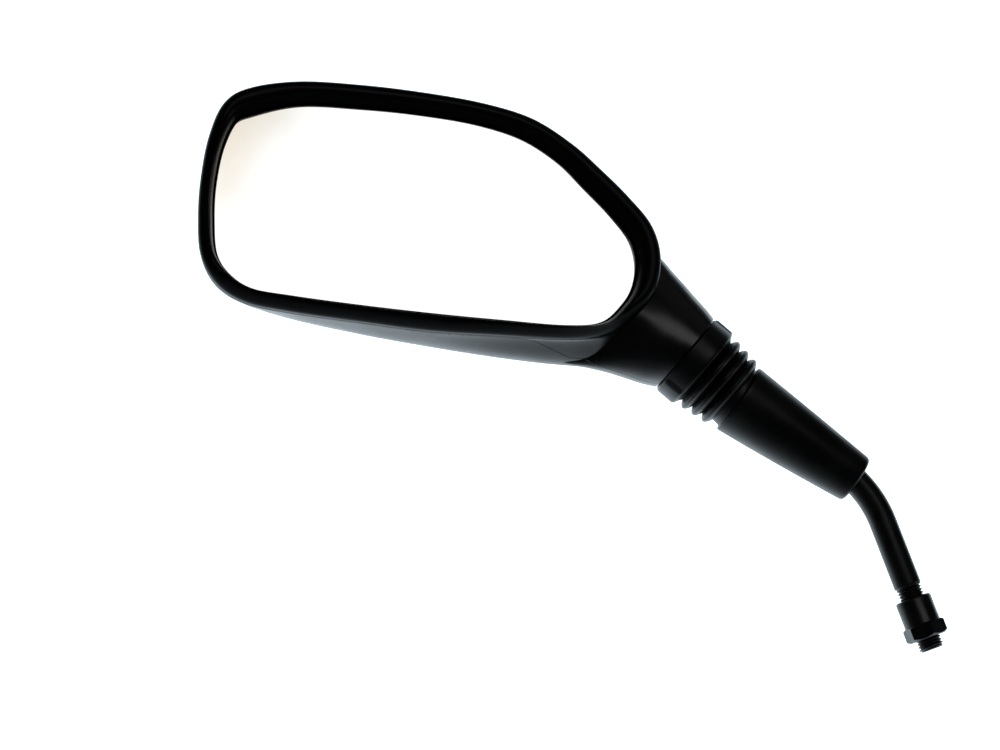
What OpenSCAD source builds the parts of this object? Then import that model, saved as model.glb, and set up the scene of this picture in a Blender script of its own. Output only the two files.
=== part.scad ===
// Left motorcycle mirror: bent steel stem, ball joint in a rubber boot, two-part plastic head with convex glass.
// Millimetres. +Z is up as in use, the glass faces -Y, +X runs from the head toward the stem.
// The origin is the centre of the lock nut's seat face, on the axis of the stem's thread.

/* [Head] */
// Width of the head across the rim
head_width = 184.9; // [175:0.1:195]
// Height of the head across the rim
head_height = 101.1; // [96:0.1:108]
// Depth of the head from the rim's front to the back of the cover
head_depth = 40; // [38.5:0.5:44]
// Distance from the ball's centre forward to the front of the rim
rim_reach = 20; // [19.6:0.1:21.5]
// Width of the rim's rounded face
rim_face = 6.2; // [6:0.1:6.6]
// Wall thickness of the cover and of the neck
wall = 2.2; // [1.8:0.1:2.5]

/* [Glass] */
// Thickness of the mirror glass
glass_thickness = 2.2; // [1.8:0.1:2.4]
// Radius of the glass's convex front
glass_radius = 1300; // [1200:10:1600]
// Depth of the glass's middle behind the rim's front
glass_recess = 6.4; // [6:0.1:6.6]

/* [Neck] */
// Angle of the neck below the horizontal
neck_angle = 39.6; // [38:0.1:41]
// Radius of the neck's open end
neck_radius = 18.1; // [17.9:0.1:18.6]
// Distance from the ball's centre out to the neck's end
neck_reach = 11; // [10.5:0.1:11.5]

/* [Stem] */
// Diameter of the steel rod
rod_diameter = 11; // [10.6:0.1:11.2]
// Angle of the threaded end below the horizontal
lower_angle = 70; // [66:0.1:76]
// Angle of the upper part below the horizontal
upper_angle = 35.8; // [34.5:0.1:37]
// Distance from the lock nut's seat up to where the two straight axes meet
stem_drop = 63.1; // [61:0.1:90]
// Distance from where the two straight axes meet to the ball's centre
arm_length = 104.6; // [103:0.1:108]
// Radius of the bend, to the rod's axis
bend_radius = 45; // [40:1:48]

/* [Thread and lock nut] */
// Outside diameter of the thread
thread_diameter = 10; // [9.6:0.1:10]
// Length of thread below the lock nut
thread_free = 4.8; // [4:0.1:16]
// Length of thread above the lock nut's seat
thread_above = 22; // [20:0.1:26]
// Lock nut's width across flats
nut_flats = 15; // [14.7:0.1:16]
// Height of the lock nut's hexagon
nut_hex_height = 6; // [5:0.1:7.5]
// Full height of the lock nut with its round collar
nut_height = 16.8; // [14:0.1:18]
// Diameter of the lock nut's round collar
nut_collar = 14.6; // [14.2:0.1:15]

/* [Ball joint] */
// Diameter of the ball
ball_diameter = 20; // [19.6:0.1:20.2]
// Thickness of each plastic ball seat
seat_thickness = 1.4; // [1.2:0.1:1.5]
// Thickness of the steel clamp plates
plate_thickness = 2; // [1.6:0.1:2]
// Distance from the ball's centre to the clamp screws
clamp_reach = 34; // [33:0.5:35]
// Distance from one clamp screw to the other
clamp_spacing = 16; // [15:0.5:17]

/* [Boot] */
// Wall thickness of the rubber
boot_wall = 1.9; // [1.6:0.1:2.1]
// Spacing of the three folds
fold_pitch = 4.8; // [4.5:0.05:5]
// Depth of the folds
fold_depth = 2.8; // [2.4:0.1:3]
// Radius of the sleeve's small end
sleeve_end_radius = 10.1; // [9.7:0.1:10.4]
// Length of the bore that grips the rod
grip_length = 22; // [18:0.5:26]

/* [Housing screws] */
// Shank radius of the housing screws
screw_radius = 1.55; // [1.4:0.05:1.6]
// Length of the housing screws
screw_length = 12; // [10:0.5:12.5]

/* [Hidden] */
$fn = 64;

rod_r = rod_diameter / 2;
// The straight lengths are drawn a hair thinner, so that their ends sit inside the bend
straight_r = rod_r - 0.01;
thread_r = thread_diameter / 2;
ball_r = ball_diameter / 2;
spigot_r = 4;
shoulder_r = rod_r - 0.6;
ball_flat = 0.9 * ball_r;

// Directions in the X-Z plane, as [x, z]
up_low = [-cos(lower_angle), sin(lower_angle)];
up_high = [-cos(upper_angle), sin(upper_angle)];
neck_in = [-cos(neck_angle), sin(neck_angle)];
neck_out = -neck_in;
neck_side = [sin(neck_angle), cos(neck_angle)];

knee = stem_drop * up_low;
ball = knee + arm_length * up_high;
bend_tangent = bend_radius * tan((lower_angle - upper_angle) / 2);
low_straight = stem_drop - bend_tangent;

// Depths measured from the ball's plane; the front is negative
front_y = -rim_reach;
part_y = front_y + 9;
back_y = front_y + head_depth;
glass_y = front_y + glass_recess;
shelf_y = glass_y + 6.8;
shelf_back_y = shelf_y + 2;
eyelet_y = shelf_back_y + 2;

// Outline of the rim as fractions of the head's width and height, from its lower right corner
rim_share = [
    [-0.8968, 0.958], [-0.7897, 0.997], [-0.655, 0.998], [-0.528, 0.984], [-0.3955, 0.955],
    [-0.285, 0.903], [-0.1965, 0.807], [-0.130, 0.702], [-0.0685, 0.592], [-0.0190, 0.480],
    [0, 0.351], [-0.0125, 0.213], [-0.0505, 0.112], [-0.1125, 0.032], [-0.201, 0.001],
    [-0.3525, 0.002], [-0.504, 0.007], [-0.6555, 0.031], [-0.8017, 0.0575], [-0.896, 0.088],
    [-0.9581, 0.1562], [-0.992, 0.267], [-1, 0.425], [-0.9965, 0.584], [-0.982, 0.752],
    [-0.952, 0.890]];
corner = [-4.87, -7.88];
head_middle = corner + [-0.5 * head_width, 0.5 * head_height];
function on_head(s) = corner + [s[0] * head_width, s[1] * head_height];
shares = len(rim_share);
steps = 3;
count = shares * steps;
function share(i) = rim_share[(i + shares) % shares];
function smooth(a, b, c, d, t) = 0.5 * (2 * b + (c - a) * t + (2 * a - 5 * b + 4 * c - d) * t * t
    + (3 * b - a - 3 * c + d) * t * t * t);
rim_line = [for (i = [0 : shares - 1]) for (k = [0 : steps - 1])
    on_head(smooth(share(i - 1), share(i), share(i + 1), share(i + 2), k / steps))];
function rim_at(i) = rim_line[(i + count) % count];
inward = [for (i = [0 : count - 1])
    let (t = rim_at(i + 1) - rim_at(i - 1))
    [t[1], -t[0]] / norm(t)];
function inset(i, u) = rim_line[i] + u * inward[i];

// The rim's section as [distance in from the outline, depth], once round
face = rim_face / 6.2;
rim_section = [
    [0.9, part_y], [0.35, part_y - 2.2], [0, front_y + 5], [0.2, front_y + 3], [0.9, front_y + 1.4],
    [2 * face, front_y + 0.4], [3.2 * face, front_y], [4.5 * face, front_y + 0.35],
    [5.5 * face, front_y + 1.2], [6.2 * face, front_y + 2.4], [6.7 * face, front_y + 4],
    [7.6, shelf_y - 1], [7.6, shelf_back_y], [5.6, shelf_back_y], [5.3, front_y + 4.6],
    [4.3, front_y + 3.2], [3.1, front_y + 3.4], [2.7, front_y + 5], [2.9, part_y]];

// The dome's rings shrink toward a point set nearer to the neck
dome_middle = on_head([-0.36, 0.41]);
// How far the cover swells out beyond the rim, one value for each point of the outline
belly_list = [-1.2, -0.8, -0.4, 0, 0, 0, 0, 0, 0, 0, 0, 0, 1, 6.52, 6.58, 5.31, 2.84, 1.38, -0.76,
    -3.48, -2.84, -2.6, -2.2, -2, -1.8, -1.4];
function belly_at(i) = belly_list[(i + shares) % shares];
belly = [for (i = [0 : shares - 1]) for (k = [0 : steps - 1])
    smooth(belly_at(i - 1), belly_at(i), belly_at(i + 1), belly_at(i + 2), k / steps)];
dome_turns = [0, 1, 3.5, 10, 18, 28, 38, 48, 58, 68, 76, 83, 88];
dome_power = 2 / 3.2;

function flat_list(rings) = [for (r = rings) for (p = r) p];
function skin(n, first, last, wrap) = [for (j = [first : last]) for (i = [0 : n - 1])
    let (a = j * n + i, b = j * n + (i + 1) % n, c = (j + 1) % wrap * n)
    for (f = [[a, b, c + (i + 1) % n], [a, c + (i + 1) % n, c + i]]) f];

// A closed solid through a stack of rings
module stack(rings) {
    n = len(rings[0]);
    m = len(rings);
    polyhedron(
        points = flat_list(rings),
        faces = concat(
            skin(n, 0, m - 2, m),
            [[for (i = [n - 1 : -1 : 0]) i]],
            [[for (i = [0 : n - 1]) (m - 1) * n + i]]),
        convexity = 6);
}

// The rim's section carried once round the outline
module rim_ring() {
    m = len(rim_section);
    polyhedron(
        points = flat_list([for (q = rim_section)
            [for (i = [0 : count - 1]) [inset(i, q[0])[0], q[1], inset(i, q[0])[1]]]]),
        faces = skin(count, 0, m - 1, m),
        convexity = 6);
}

// The dome, taken in by an amount, from a start depth to its back
module dome(take, start, every) {
    depth = back_y - take - part_y;
    stack([for (j = [-1 : len(dome_turns) - 1])
        let (
            k = j < 0 ? 1 : pow(cos(dome_turns[j]), dome_power),
            h = j < 0 ? 0 : pow(sin(dome_turns[j]), dome_power),
            y = j < 0 ? start : part_y + depth * h,
            swell = 2 * sqrt(h * (1 - h)))
        [for (i = [count - every : -every : 0])
            let (p = dome_middle + k * (inset(i, 0.6 + take) - dome_middle) - swell * belly[i] * inward[i])
            [p[0], y, p[1]]]]);
}

// A prism inside the rim's outline, taken in by an amount, between two depths
module prism(take, y0, y1) {
    translate([0, y1, 0])
        rotate([90, 0, 0])
            linear_extrude(height = y1 - y0)
                polygon([for (i = [0 : count - 1]) inset(i, take)]);
}

// The open middle of the shelf
module shelf_window(y0, y1) {
    translate([0, y1, 0])
        rotate([90, 0, 0])
            linear_extrude(height = y1 - y0)
                polygon([for (i = [0 : count - 1])
                    let (p = rim_line[i] - head_middle)
                    head_middle + [0.8 * p[0], 0.64 * p[1]]]);
}

// Sections of the neck: low edge, high edge, front depth, back depth
neck_end = neck_reach * neck_out;
neck_list = [
    [neck_end - neck_radius * neck_side, neck_end + neck_radius * neck_side, -neck_radius, neck_radius],
    [[-9, -19.9], [17.1, 11], -17.8, 18.2],
    [[-16, -17.9], [12.8, 16], -17.4, 18.4],
    [[-23.7, -15.8], [8.5, 21.4], -16.6, 18.4],
    [[-31.8, -14.2], [4.1, 26.8], -15.2, 18.4],
    [[-40.9, -13], [-0.3, 32.4], -13.6, 18],
    [[-49, -10.3], [-5.9, 37], -12.2, 17],
    [[-55.9, -5.9], [-12.8, 41.3], -10.5, 15],
    [[-60.4, -0.7], [-21.8, 43.3], -9, 12]];

// The neck's flare as a solid through its sections, taken in by an amount
module neck_flare(take, around) {
    stack([for (q = neck_list)
        let (
            across = q[1] - q[0],
            middle = (q[0] + q[1]) / 2,
            side = across / norm(across),
            half = norm(across) / 2 - take,
            deep = (q[3] - q[2]) / 2 - take)
        [for (i = [0 : around - 1])
            let (t = -360 * i / around)
            [middle[0] + half * cos(t) * side[0], (q[2] + q[3]) / 2 + deep * sin(t),
                middle[1] + half * cos(t) * side[1]]]]);
}

// A profile drawn as [distance from the ball into the neck, depth], carried across the head
module across_head(width) {
    rotate([0, neck_angle + 180, 0])
        linear_extrude(height = width, center = true)
            children();
}

// Everything behind the parting surface, which ramps from the head to the middle of the neck
ramp_run = 52.6;
ramp_foot = [-neck_reach - 5, -5 * part_y / ramp_run];
ramp_top = [ramp_run - neck_reach, part_y];
module behind_parting(gap) {
    across_head(500)
        polygon([ramp_foot + [0, gap], ramp_top + [0, gap], [400, part_y + gap], [400, 90],
            [ramp_foot[0], 90]]);
}

// The part of the neck in front of the ramp
module before_ramp(gap) {
    across_head(500)
        polygon([ramp_foot - [0, gap], ramp_top - [0, gap], [ramp_top[0], -90],
            [ramp_foot[0], -90]]);
}

// Places a child at the ball
module at_ball() {
    translate([ball[0], 0, ball[1]])
        children();
}

// Turns a child drawn along +Z so that it runs along a direction in the X-Z plane
module along(d) {
    rotate([0, 90 - atan2(d[1], d[0]), 0])
        children();
}

// A round bar along +Y at a point [x, z] of the head
module bar(p, r, y0, y1) {
    translate([p[0], y0, p[1]])
        rotate([-90, 0, 0])
            cylinder(r = r, h = y1 - y0);
}

// A cone along +Y at a point [x, z] of the head
module taper(p, r0, r1, y0, y1) {
    translate([p[0], y0, p[1]])
        rotate([-90, 0, 0])
            cylinder(r1 = r0, r2 = r1, h = y1 - y0);
}

clamp_points = [for (k = [-1, 1]) clamp_reach * neck_in + k * clamp_spacing / 2 * neck_side];
screw_points = [for (s = [[-0.8475, 0.835], [-0.350, 0.805], [-0.1174, 0.508], [-0.869, 0.2315],
    [-0.5068, 0.1424]]) on_head(s)];
screw_head_r = 3.5;
insert_r = 3.6;
insert_deep = 8;
clamp_screw_r = 2.45;
plate_gap = 0.5;
plate_tail_y = plate_gap + plate_thickness;
washer_thickness = 1.2;

// The bent part of the rod
module bend() {
    pivot = low_straight * up_low - bend_radius * [sin(lower_angle), cos(lower_angle)];
    translate([pivot[0], 0, pivot[1]])
        rotate([90, 0, 0])
            rotate([0, 0, 90 - lower_angle])
                rotate_extrude(angle = lower_angle - upper_angle)
                    translate([bend_radius, 0])
                        circle(r = rod_r);
}

module stem() {
    color([0.05, 0.05, 0.055])
        union() {
            along(up_low)
                rotate_extrude()
                    polygon([[0, -thread_free], [thread_r - 0.8, -thread_free],
                        [thread_r, 0.8 - thread_free], [thread_r, 0.1], [thread_r - 0.6, 0.1],
                        [thread_r - 0.6, 0.8], [thread_r, 0.8], [thread_r, thread_above],
                        [straight_r, thread_above + 0.1], [straight_r, low_straight + 0.5],
                        [0, low_straight + 0.5]]);
            bend();
            translate([knee[0], 0, knee[1]])
                along(up_high)
                    rotate_extrude()
                        polygon([[0, bend_tangent - 0.5], [straight_r, bend_tangent - 0.5],
                            [straight_r, arm_length - ball_flat - 5.6],
                            [shoulder_r, arm_length - ball_flat - 5],
                            [shoulder_r, arm_length - ball_flat],
                            [spigot_r, arm_length - ball_flat], [spigot_r, arm_length + ball_flat],
                            [0, arm_length + ball_flat]]);
        }
}

module ball() {
    color([0.6, 0.6, 0.62])
        at_ball()
            along(up_high)
                difference() {
                    intersection() {
                        sphere(r = ball_r);
                        cylinder(r = ball_r + 1, h = 2 * ball_flat, center = true);
                    }
                    cylinder(r = spigot_r + 0.01, h = 3 * ball_r, center = true);
                }
}

module lock_nut() {
    color([0.06, 0.06, 0.065])
        along(up_low)
            difference() {
                union() {
                    intersection() {
                        rotate([0, 0, 30])
                            cylinder(r = nut_flats / sqrt(3), h = nut_hex_height, $fn = 6);
                        rotate_extrude()
                            polygon([[0, 0], [nut_flats / 2 - 0.3, 0], [nut_flats / 2 + 1.4, 1.1],
                                [nut_flats / 2 + 1.4, nut_hex_height - 0.8],
                                [nut_flats / 2 - 0.1, nut_hex_height], [0, nut_hex_height]]);
                    }
                    translate([0, 0, nut_hex_height - 0.5])
                        cylinder(r = nut_collar / 2, h = nut_height - nut_hex_height - 0.3);
                    translate([0, 0, nut_height - 0.8])
                        cylinder(r1 = nut_collar / 2, r2 = nut_collar / 2 - 0.6, h = 0.8);
                }
                translate([0, 0, -1])
                    cylinder(r = thread_r + 0.05, h = nut_height + 2);
                translate([0, 0, 8])
                    cylinder(r = rod_r + 0.3, h = nut_height);
                translate([0, 0, -0.01])
                    cylinder(r1 = thread_r + 0.4, r2 = thread_r + 0.05, h = 0.4);
            }
}

// The folds of the boot, as [radius, distance out from the neck's end]
fold_start = 11.6;
fold_points = 8;
valley = [15, 14.4, 13.8, 13.2];
folds_end = fold_start + 3 * fold_pitch;
function fold(k, t) = valley[k] + (valley[k + 1] - valley[k]) * t
    + fold_depth * pow(0.5 - 0.5 * cos(360 * t), 0.6);
fold_line = [for (k = [0 : 2]) for (i = [0 : fold_points - 1])
    [fold(k, i / fold_points), fold_start + fold_pitch * (k + i / fold_points)]];
lip_r = neck_radius - wall - 0.6;
sleeve_start = folds_end + 2.2;
sleeve_from = neck_end + sleeve_start * neck_out;
sleeve_to = -(arm_length - 7.6) * up_high;
sleeve_way = sleeve_to - sleeve_from;
sleeve_length = norm(sleeve_way);
sleeve_start_r = valley[3] + 1.9;
function sleeve_r(t) = sleeve_start_r + (sleeve_end_radius - sleeve_start_r) * t + 0.8 * t * (1 - t);

module boot() {
    color([0.07, 0.07, 0.07])
        at_ball()
            difference() {
                union() {
                    translate([neck_end[0], 0, neck_end[1]])
                        along(neck_out) {
                            rotate_extrude()
                                polygon(concat(
                                    [[0, -2.8], [lip_r, -2.8], [lip_r, 0.3], [neck_radius - 0.9, 0.3],
                                        [neck_radius - 0.3, 0.6], [neck_radius - 0.1, 1.2],
                                        [neck_radius - 0.1, 9.2], [neck_radius - 0.6, 10],
                                        [neck_radius - 1.6, 10.5]],
                                    fold_line,
                                    [[valley[3], folds_end], [valley[3], sleeve_start + 2],
                                        [0, sleeve_start + 2]]));
                            for (a = [0, 180])
                                rotate([0, 0, a - 24])
                                    rotate_extrude(angle = 48)
                                        polygon([[neck_radius - 0.8, 1], [neck_radius + 0.1, 1],
                                            [neck_radius + 0.6, 1.6], [neck_radius + 0.6, 9.1],
                                            [neck_radius + 0.1, 9.7], [neck_radius - 0.8, 9.7]]);
                        }
                    translate([sleeve_from[0], 0, sleeve_from[1]])
                        along(sleeve_way)
                            rotate_extrude()
                                polygon(concat(
                                    [[0, 0], [sleeve_start_r - 0.6, 0]],
                                    [for (i = [0 : 9]) [sleeve_r(i / 10), 0.5 + (sleeve_length - 1.2) * i / 10]],
                                    [[sleeve_end_radius, sleeve_length - 0.7],
                                        [sleeve_end_radius - 0.7, sleeve_length], [0, sleeve_length]]));
                }
                translate([neck_end[0], 0, neck_end[1]])
                    along(neck_out)
                        rotate_extrude()
                            polygon(concat(
                                [[0, -4.4], [lip_r - boot_wall + 0.4, -4.4], [lip_r - boot_wall + 0.4, 9.4],
                                    [valley[0] - boot_wall, 10.6]],
                                [for (q = fold_line) [q[0] - boot_wall, q[1]]],
                                [[valley[3] - boot_wall, folds_end], [valley[3] - boot_wall, sleeve_start + 5],
                                    [0, sleeve_start + 5]]));
                translate([sleeve_from[0], 0, sleeve_from[1]])
                    along(sleeve_way)
                        rotate_extrude()
                            polygon([[0, 3], [sleeve_r(0.06) - boot_wall, 3], [sleeve_r(0.3) - boot_wall,
                                0.3 * sleeve_length], [rod_r + 0.6, sleeve_length - grip_length],
                                [0, sleeve_length - grip_length]]);
                along(-up_high)
                    cylinder(r = rod_r + 0.05, h = arm_length + 5);
                translate(-(arm_length - bend_tangent) * [up_high[0], 0, up_high[1]])
                    along(-up_high)
                        cylinder(r1 = rod_r + 0.04, r2 = rod_r + 2.7, h = bend_tangent);
            }
}

seat_in = ball_r + 0.05;
seat_out = seat_in + seat_thickness;
plate_in = seat_out + 0.05;
plate_out = plate_in + plate_thickness;

// The opening for the rod, as a cone from the ball's centre
module rod_opening() {
    along(neck_out)
        cylinder(r1 = 0, r2 = 30 * tan(50), h = 30);
}

module seat() {
    difference() {
        sphere(r = seat_out);
        sphere(r = seat_in);
        translate([-30, -0.7, -30])
            cube([60, 60, 60]);
        rod_opening();
    }
}

module seat_front() {
    color([0.85, 0.84, 0.8])
        at_ball()
            seat();
}

module seat_back() {
    color([0.85, 0.84, 0.8])
        at_ball()
            mirror([0, 1, 0])
                seat();
}

flange_y = 5;
web_reach = 17;
module clamp_plate() {
    difference() {
        union() {
            intersection() {
                sphere(r = plate_out);
                translate([-30, -60.6 - flange_y, -30])
                    cube([60, 60, 60]);
            }
            bar([0, 0], 14, -flange_y - plate_thickness, -flange_y);
            across_head(26)
                polygon([[12.4, -flange_y - plate_thickness], [web_reach, -flange_y - plate_thickness],
                    [web_reach, -plate_tail_y], [clamp_reach + 6.5, -plate_tail_y],
                    [clamp_reach + 6.5, -plate_gap], [web_reach - plate_thickness, -plate_gap],
                    [web_reach - plate_thickness, -flange_y], [12.4, -flange_y]]);
        }
        sphere(r = plate_in);
        rod_opening();
        for (p = clamp_points)
            bar(p, clamp_screw_r + 0.35, -20, 20);
    }
}

module clamp_front() {
    color([0.5, 0.5, 0.52])
        at_ball()
            clamp_plate();
}

module clamp_back() {
    color([0.5, 0.5, 0.52])
        at_ball()
            mirror([0, 1, 0])
                clamp_plate();
}

clamp_head_y = -plate_tail_y - washer_thickness;
insert_y = plate_tail_y + 0.2;
module clamp_screws() {
    color([0.45, 0.45, 0.47])
        at_ball()
            for (p = clamp_points)
                difference() {
                    union() {
                        bar(p, 4.75, clamp_head_y - 1.4, clamp_head_y);
                        taper(p, 3.2, 4.75, clamp_head_y - 2.7, clamp_head_y - 1.4);
                        bar(p, clamp_screw_r, clamp_head_y, insert_y + insert_deep);
                    }
                    translate([p[0], clamp_head_y - 3, p[1]])
                        rotate([-90, 0, 0])
                            cylinder(r = 1.73, h = 2.2, $fn = 6);
                }
}

module clamp_washers() {
    color([0.55, 0.55, 0.57])
        at_ball()
            for (p = clamp_points)
                difference() {
                    bar(p, 4.5, clamp_head_y, -plate_tail_y);
                    bar(p, clamp_screw_r + 0.15, clamp_head_y - 1, 1);
                    translate([p[0], clamp_head_y - 1, p[1] - 0.4])
                        cube([8, 4, 0.8]);
                }
}

module clamp_inserts() {
    color([0.75, 0.6, 0.3])
        at_ball()
            for (p = clamp_points)
                difference() {
                    bar(p, insert_r, insert_y, insert_y + insert_deep);
                    bar(p, clamp_screw_r + 0.05, insert_y - 1, insert_y + insert_deep + 1);
                }
}

// The space inside the dome and the neck
module hollow(take, every, around) {
    dome(take, part_y - 3, every);
    neck_flare(wall + 0.3, around);
    translate([neck_end[0], 0, neck_end[1]])
        along(neck_out)
            translate([0, 0, -1])
                cylinder(r = neck_radius - wall, h = 4, $fn = 36);
}

module back_cover() {
    color([0.06, 0.06, 0.065])
        at_ball()
            difference() {
                resize([0, 0, 0])
                    intersection() {
                        union() {
                            difference() {
                                union() {
                                    dome(0, part_y - 1, 1);
                                    neck_flare(0, 49);
                                }
                                hollow(wall, 2, 38);
                            }
                            intersection() {
                                union() {
                                    dome(wall / 2, part_y - 1, 2);
                                    neck_flare(wall / 2, 37);
                                }
                                union() {
                                    for (p = screw_points)
                                        bar(p, 3.8, eyelet_y, back_y, $fn = 18);
                                    for (p = clamp_points)
                                        bar(p, 6, plate_tail_y, back_y, $fn = 28);
                                }
                            }
                        }
                        behind_parting(0.1);
                    }
                for (p = screw_points)
                    bar(p, screw_radius + 0.05, eyelet_y - 1, shelf_y + screw_length + 1);
                for (p = clamp_points)
                    bar(p, insert_r + 0.02, plate_tail_y - 1, insert_y + insert_deep + 0.6);
            }
}

module front_frame() {
    color([0.055, 0.055, 0.06])
        at_ball()
            difference() {
                resize([0, 0, 0])
                    difference() {
                        union() {
                            rim_ring();
                            difference() {
                                prism(6.6, shelf_y, shelf_back_y - 0.2);
                                shelf_window(shelf_y - 1, shelf_back_y + 1);
                            }
                            for (p = screw_points)
                                bar(p, 5, shelf_y + 0.3, eyelet_y, $fn = 28);
                            intersection() {
                                difference() {
                                    union() {
                                        dome(0, part_y - 0.6, 1);
                                        neck_flare(0, 49);
                                    }
                                    hollow(wall - 0.35, 1, 30);
                                    prism(4.8, front_y - 5, 20);
                                }
                                before_ramp(0.1);
                            }
                        }
                        for (p = clamp_points)
                            bar(p, 5.6, shelf_y - 0.5, shelf_back_y + 1, $fn = 35);
                    }
                for (p = screw_points) {
                    bar(p, screw_radius + 0.35, shelf_y - 1, eyelet_y + 1);
                    taper(p, screw_head_r + 0.15, screw_radius + 0.3, shelf_y - 0.1, shelf_y + 2);
                }
            }
}

module mirror_glass() {
    color([0.75, 0.78, 0.8])
        at_ball()
            difference() {
                intersection() {
                    prism(7.9, glass_y - 1, shelf_y - 0.3);
                    translate([head_middle[0], glass_y + glass_radius, head_middle[1]])
                        sphere(r = glass_radius, $fn = 256);
                }
                translate([head_middle[0], glass_y + glass_radius, head_middle[1]])
                    sphere(r = glass_radius - glass_thickness, $fn = 256);
            }
}

// The foam's front follows the back of the glass in bands
pad_bands = 12;
function pad_front(r) = glass_y + glass_thickness + 0.05
    + (glass_radius - glass_thickness) - sqrt(pow(glass_radius - glass_thickness, 2) - r * r);
module glass_pad() {
    color([0.12, 0.12, 0.12])
        at_ball()
            intersection() {
                prism(8.6, glass_y, shelf_y);
                translate([head_middle[0], 0, head_middle[1]])
                    rotate([90, 0, 0])
                        rotate_extrude($fn = 96)
                            polygon(concat(
                                [[0, -shelf_y]],
                                [for (i = [0 : pad_bands])
                                    let (r = 0.62 * head_width * (pad_bands - i) / pad_bands)
                                    [r, -pad_front(r)]],
                                [[0, -shelf_y]]));
            }
}

module housing_screws() {
    color([0.4, 0.4, 0.42])
        at_ball()
            for (p = screw_points)
                difference() {
                    union() {
                        taper(p, screw_head_r, screw_radius, shelf_y + 0.05, shelf_y + 2);
                        bar(p, screw_radius, shelf_y + 1.9, shelf_y + screw_length - 1.5);
                        taper(p, screw_radius, 0.6, shelf_y + screw_length - 1.5, shelf_y + screw_length);
                    }
                    translate([p[0] - 2, shelf_y - 1, p[1] - 0.4])
                        cube([4, 2, 0.8]);
                    translate([p[0] - 0.4, shelf_y - 1, p[1] - 2])
                        cube([0.8, 2, 4]);
                }
}

stem();
ball();
lock_nut();
boot();
seat_front();
seat_back();
clamp_front();
clamp_back();
clamp_screws();
clamp_washers();
clamp_inserts();
back_cover();
front_frame();
mirror_glass();
glass_pad();
housing_screws();
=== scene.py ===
"""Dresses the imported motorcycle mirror: finer surfaces for what shows, finishes, studio light and the camera.

Everything is drawn in millimetres in the part's own frame (+Z up as in use, glass toward -Y, +X from the head
toward the stem, origin at the lock nut's seat) and becomes metres when a mesh is made.
"""
from __future__ import annotations

import logging
import math
from dataclasses import dataclass, field
from enum import Enum

import bpy
import numpy as np
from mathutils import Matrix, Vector
from numpy.typing import NDArray

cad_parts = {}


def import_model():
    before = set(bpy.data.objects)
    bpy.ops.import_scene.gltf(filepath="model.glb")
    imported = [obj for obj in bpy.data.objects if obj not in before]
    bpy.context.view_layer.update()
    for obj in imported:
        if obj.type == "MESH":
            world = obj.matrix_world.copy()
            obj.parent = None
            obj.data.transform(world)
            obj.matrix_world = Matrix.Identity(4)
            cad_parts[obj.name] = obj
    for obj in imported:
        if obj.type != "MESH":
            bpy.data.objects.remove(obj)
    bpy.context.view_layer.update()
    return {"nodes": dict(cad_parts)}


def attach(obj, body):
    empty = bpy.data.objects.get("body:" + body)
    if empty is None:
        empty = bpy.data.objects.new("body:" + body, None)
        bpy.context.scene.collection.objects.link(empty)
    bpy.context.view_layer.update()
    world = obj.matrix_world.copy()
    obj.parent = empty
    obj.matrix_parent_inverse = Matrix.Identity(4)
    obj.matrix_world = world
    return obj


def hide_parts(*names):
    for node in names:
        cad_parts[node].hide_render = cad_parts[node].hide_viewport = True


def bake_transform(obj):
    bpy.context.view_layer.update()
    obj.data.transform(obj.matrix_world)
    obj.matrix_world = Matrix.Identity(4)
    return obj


log = logging.getLogger("mirror")
Array = NDArray[np.float64]
Triple = tuple[float, float, float]
Socket = bpy.types.NodeSocket
Value = float | tuple[float, ...] | Socket
TAU = 2.0 * math.pi
METRES = 0.001


def unit(v: Array) -> Array:
    """Scales each vector along the last axis to length one."""
    return v / np.linalg.norm(v, axis=-1, keepdims=True)


def smoothstep(x: Array, low: float, high: float) -> Array:
    """The cubic 3t^2 - 2t^3 of t, x's place between low and high kept within 0 and 1."""
    t = np.clip((x - low) / (high - low), 0.0, 1.0)
    return t * t * (3.0 - 2.0 * t)


def catmull(points: Array, steps: int, closed: bool) -> Array:
    """Refines rows of values with the Catmull-Rom cubic.

    Between rows b and c with neighbours a and d, at t:
    half of 2b + (c - a)t + (2a - 5b + 4c - d)t^2 + (3b - a - 3c + d)t^3.

    Args:
        points: rows of values, one row a station.
        steps: how many stations each gap becomes.
        closed: whether the last row is followed by the first.

    Returns:
        The refined rows; an open line keeps its last row.
    """
    n = len(points)
    four = np.arange(n if closed else n - 1)[:, None] + np.arange(-1, 3)
    near = points[four % n if closed else np.clip(four, 0, n - 1)]
    a, b, c, d = (near[:, k, None] for k in range(4))
    t = (np.arange(steps) / steps)[None, :, None]
    out = 0.5 * (2 * b + (c - a) * t + (2 * a - 5 * b + 4 * c - d) * t**2 + (3 * b - a - 3 * c + d) * t**3)
    out = out.reshape(-1, points.shape[1])
    return out if closed else np.vstack([out, points[-1:]])


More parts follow.
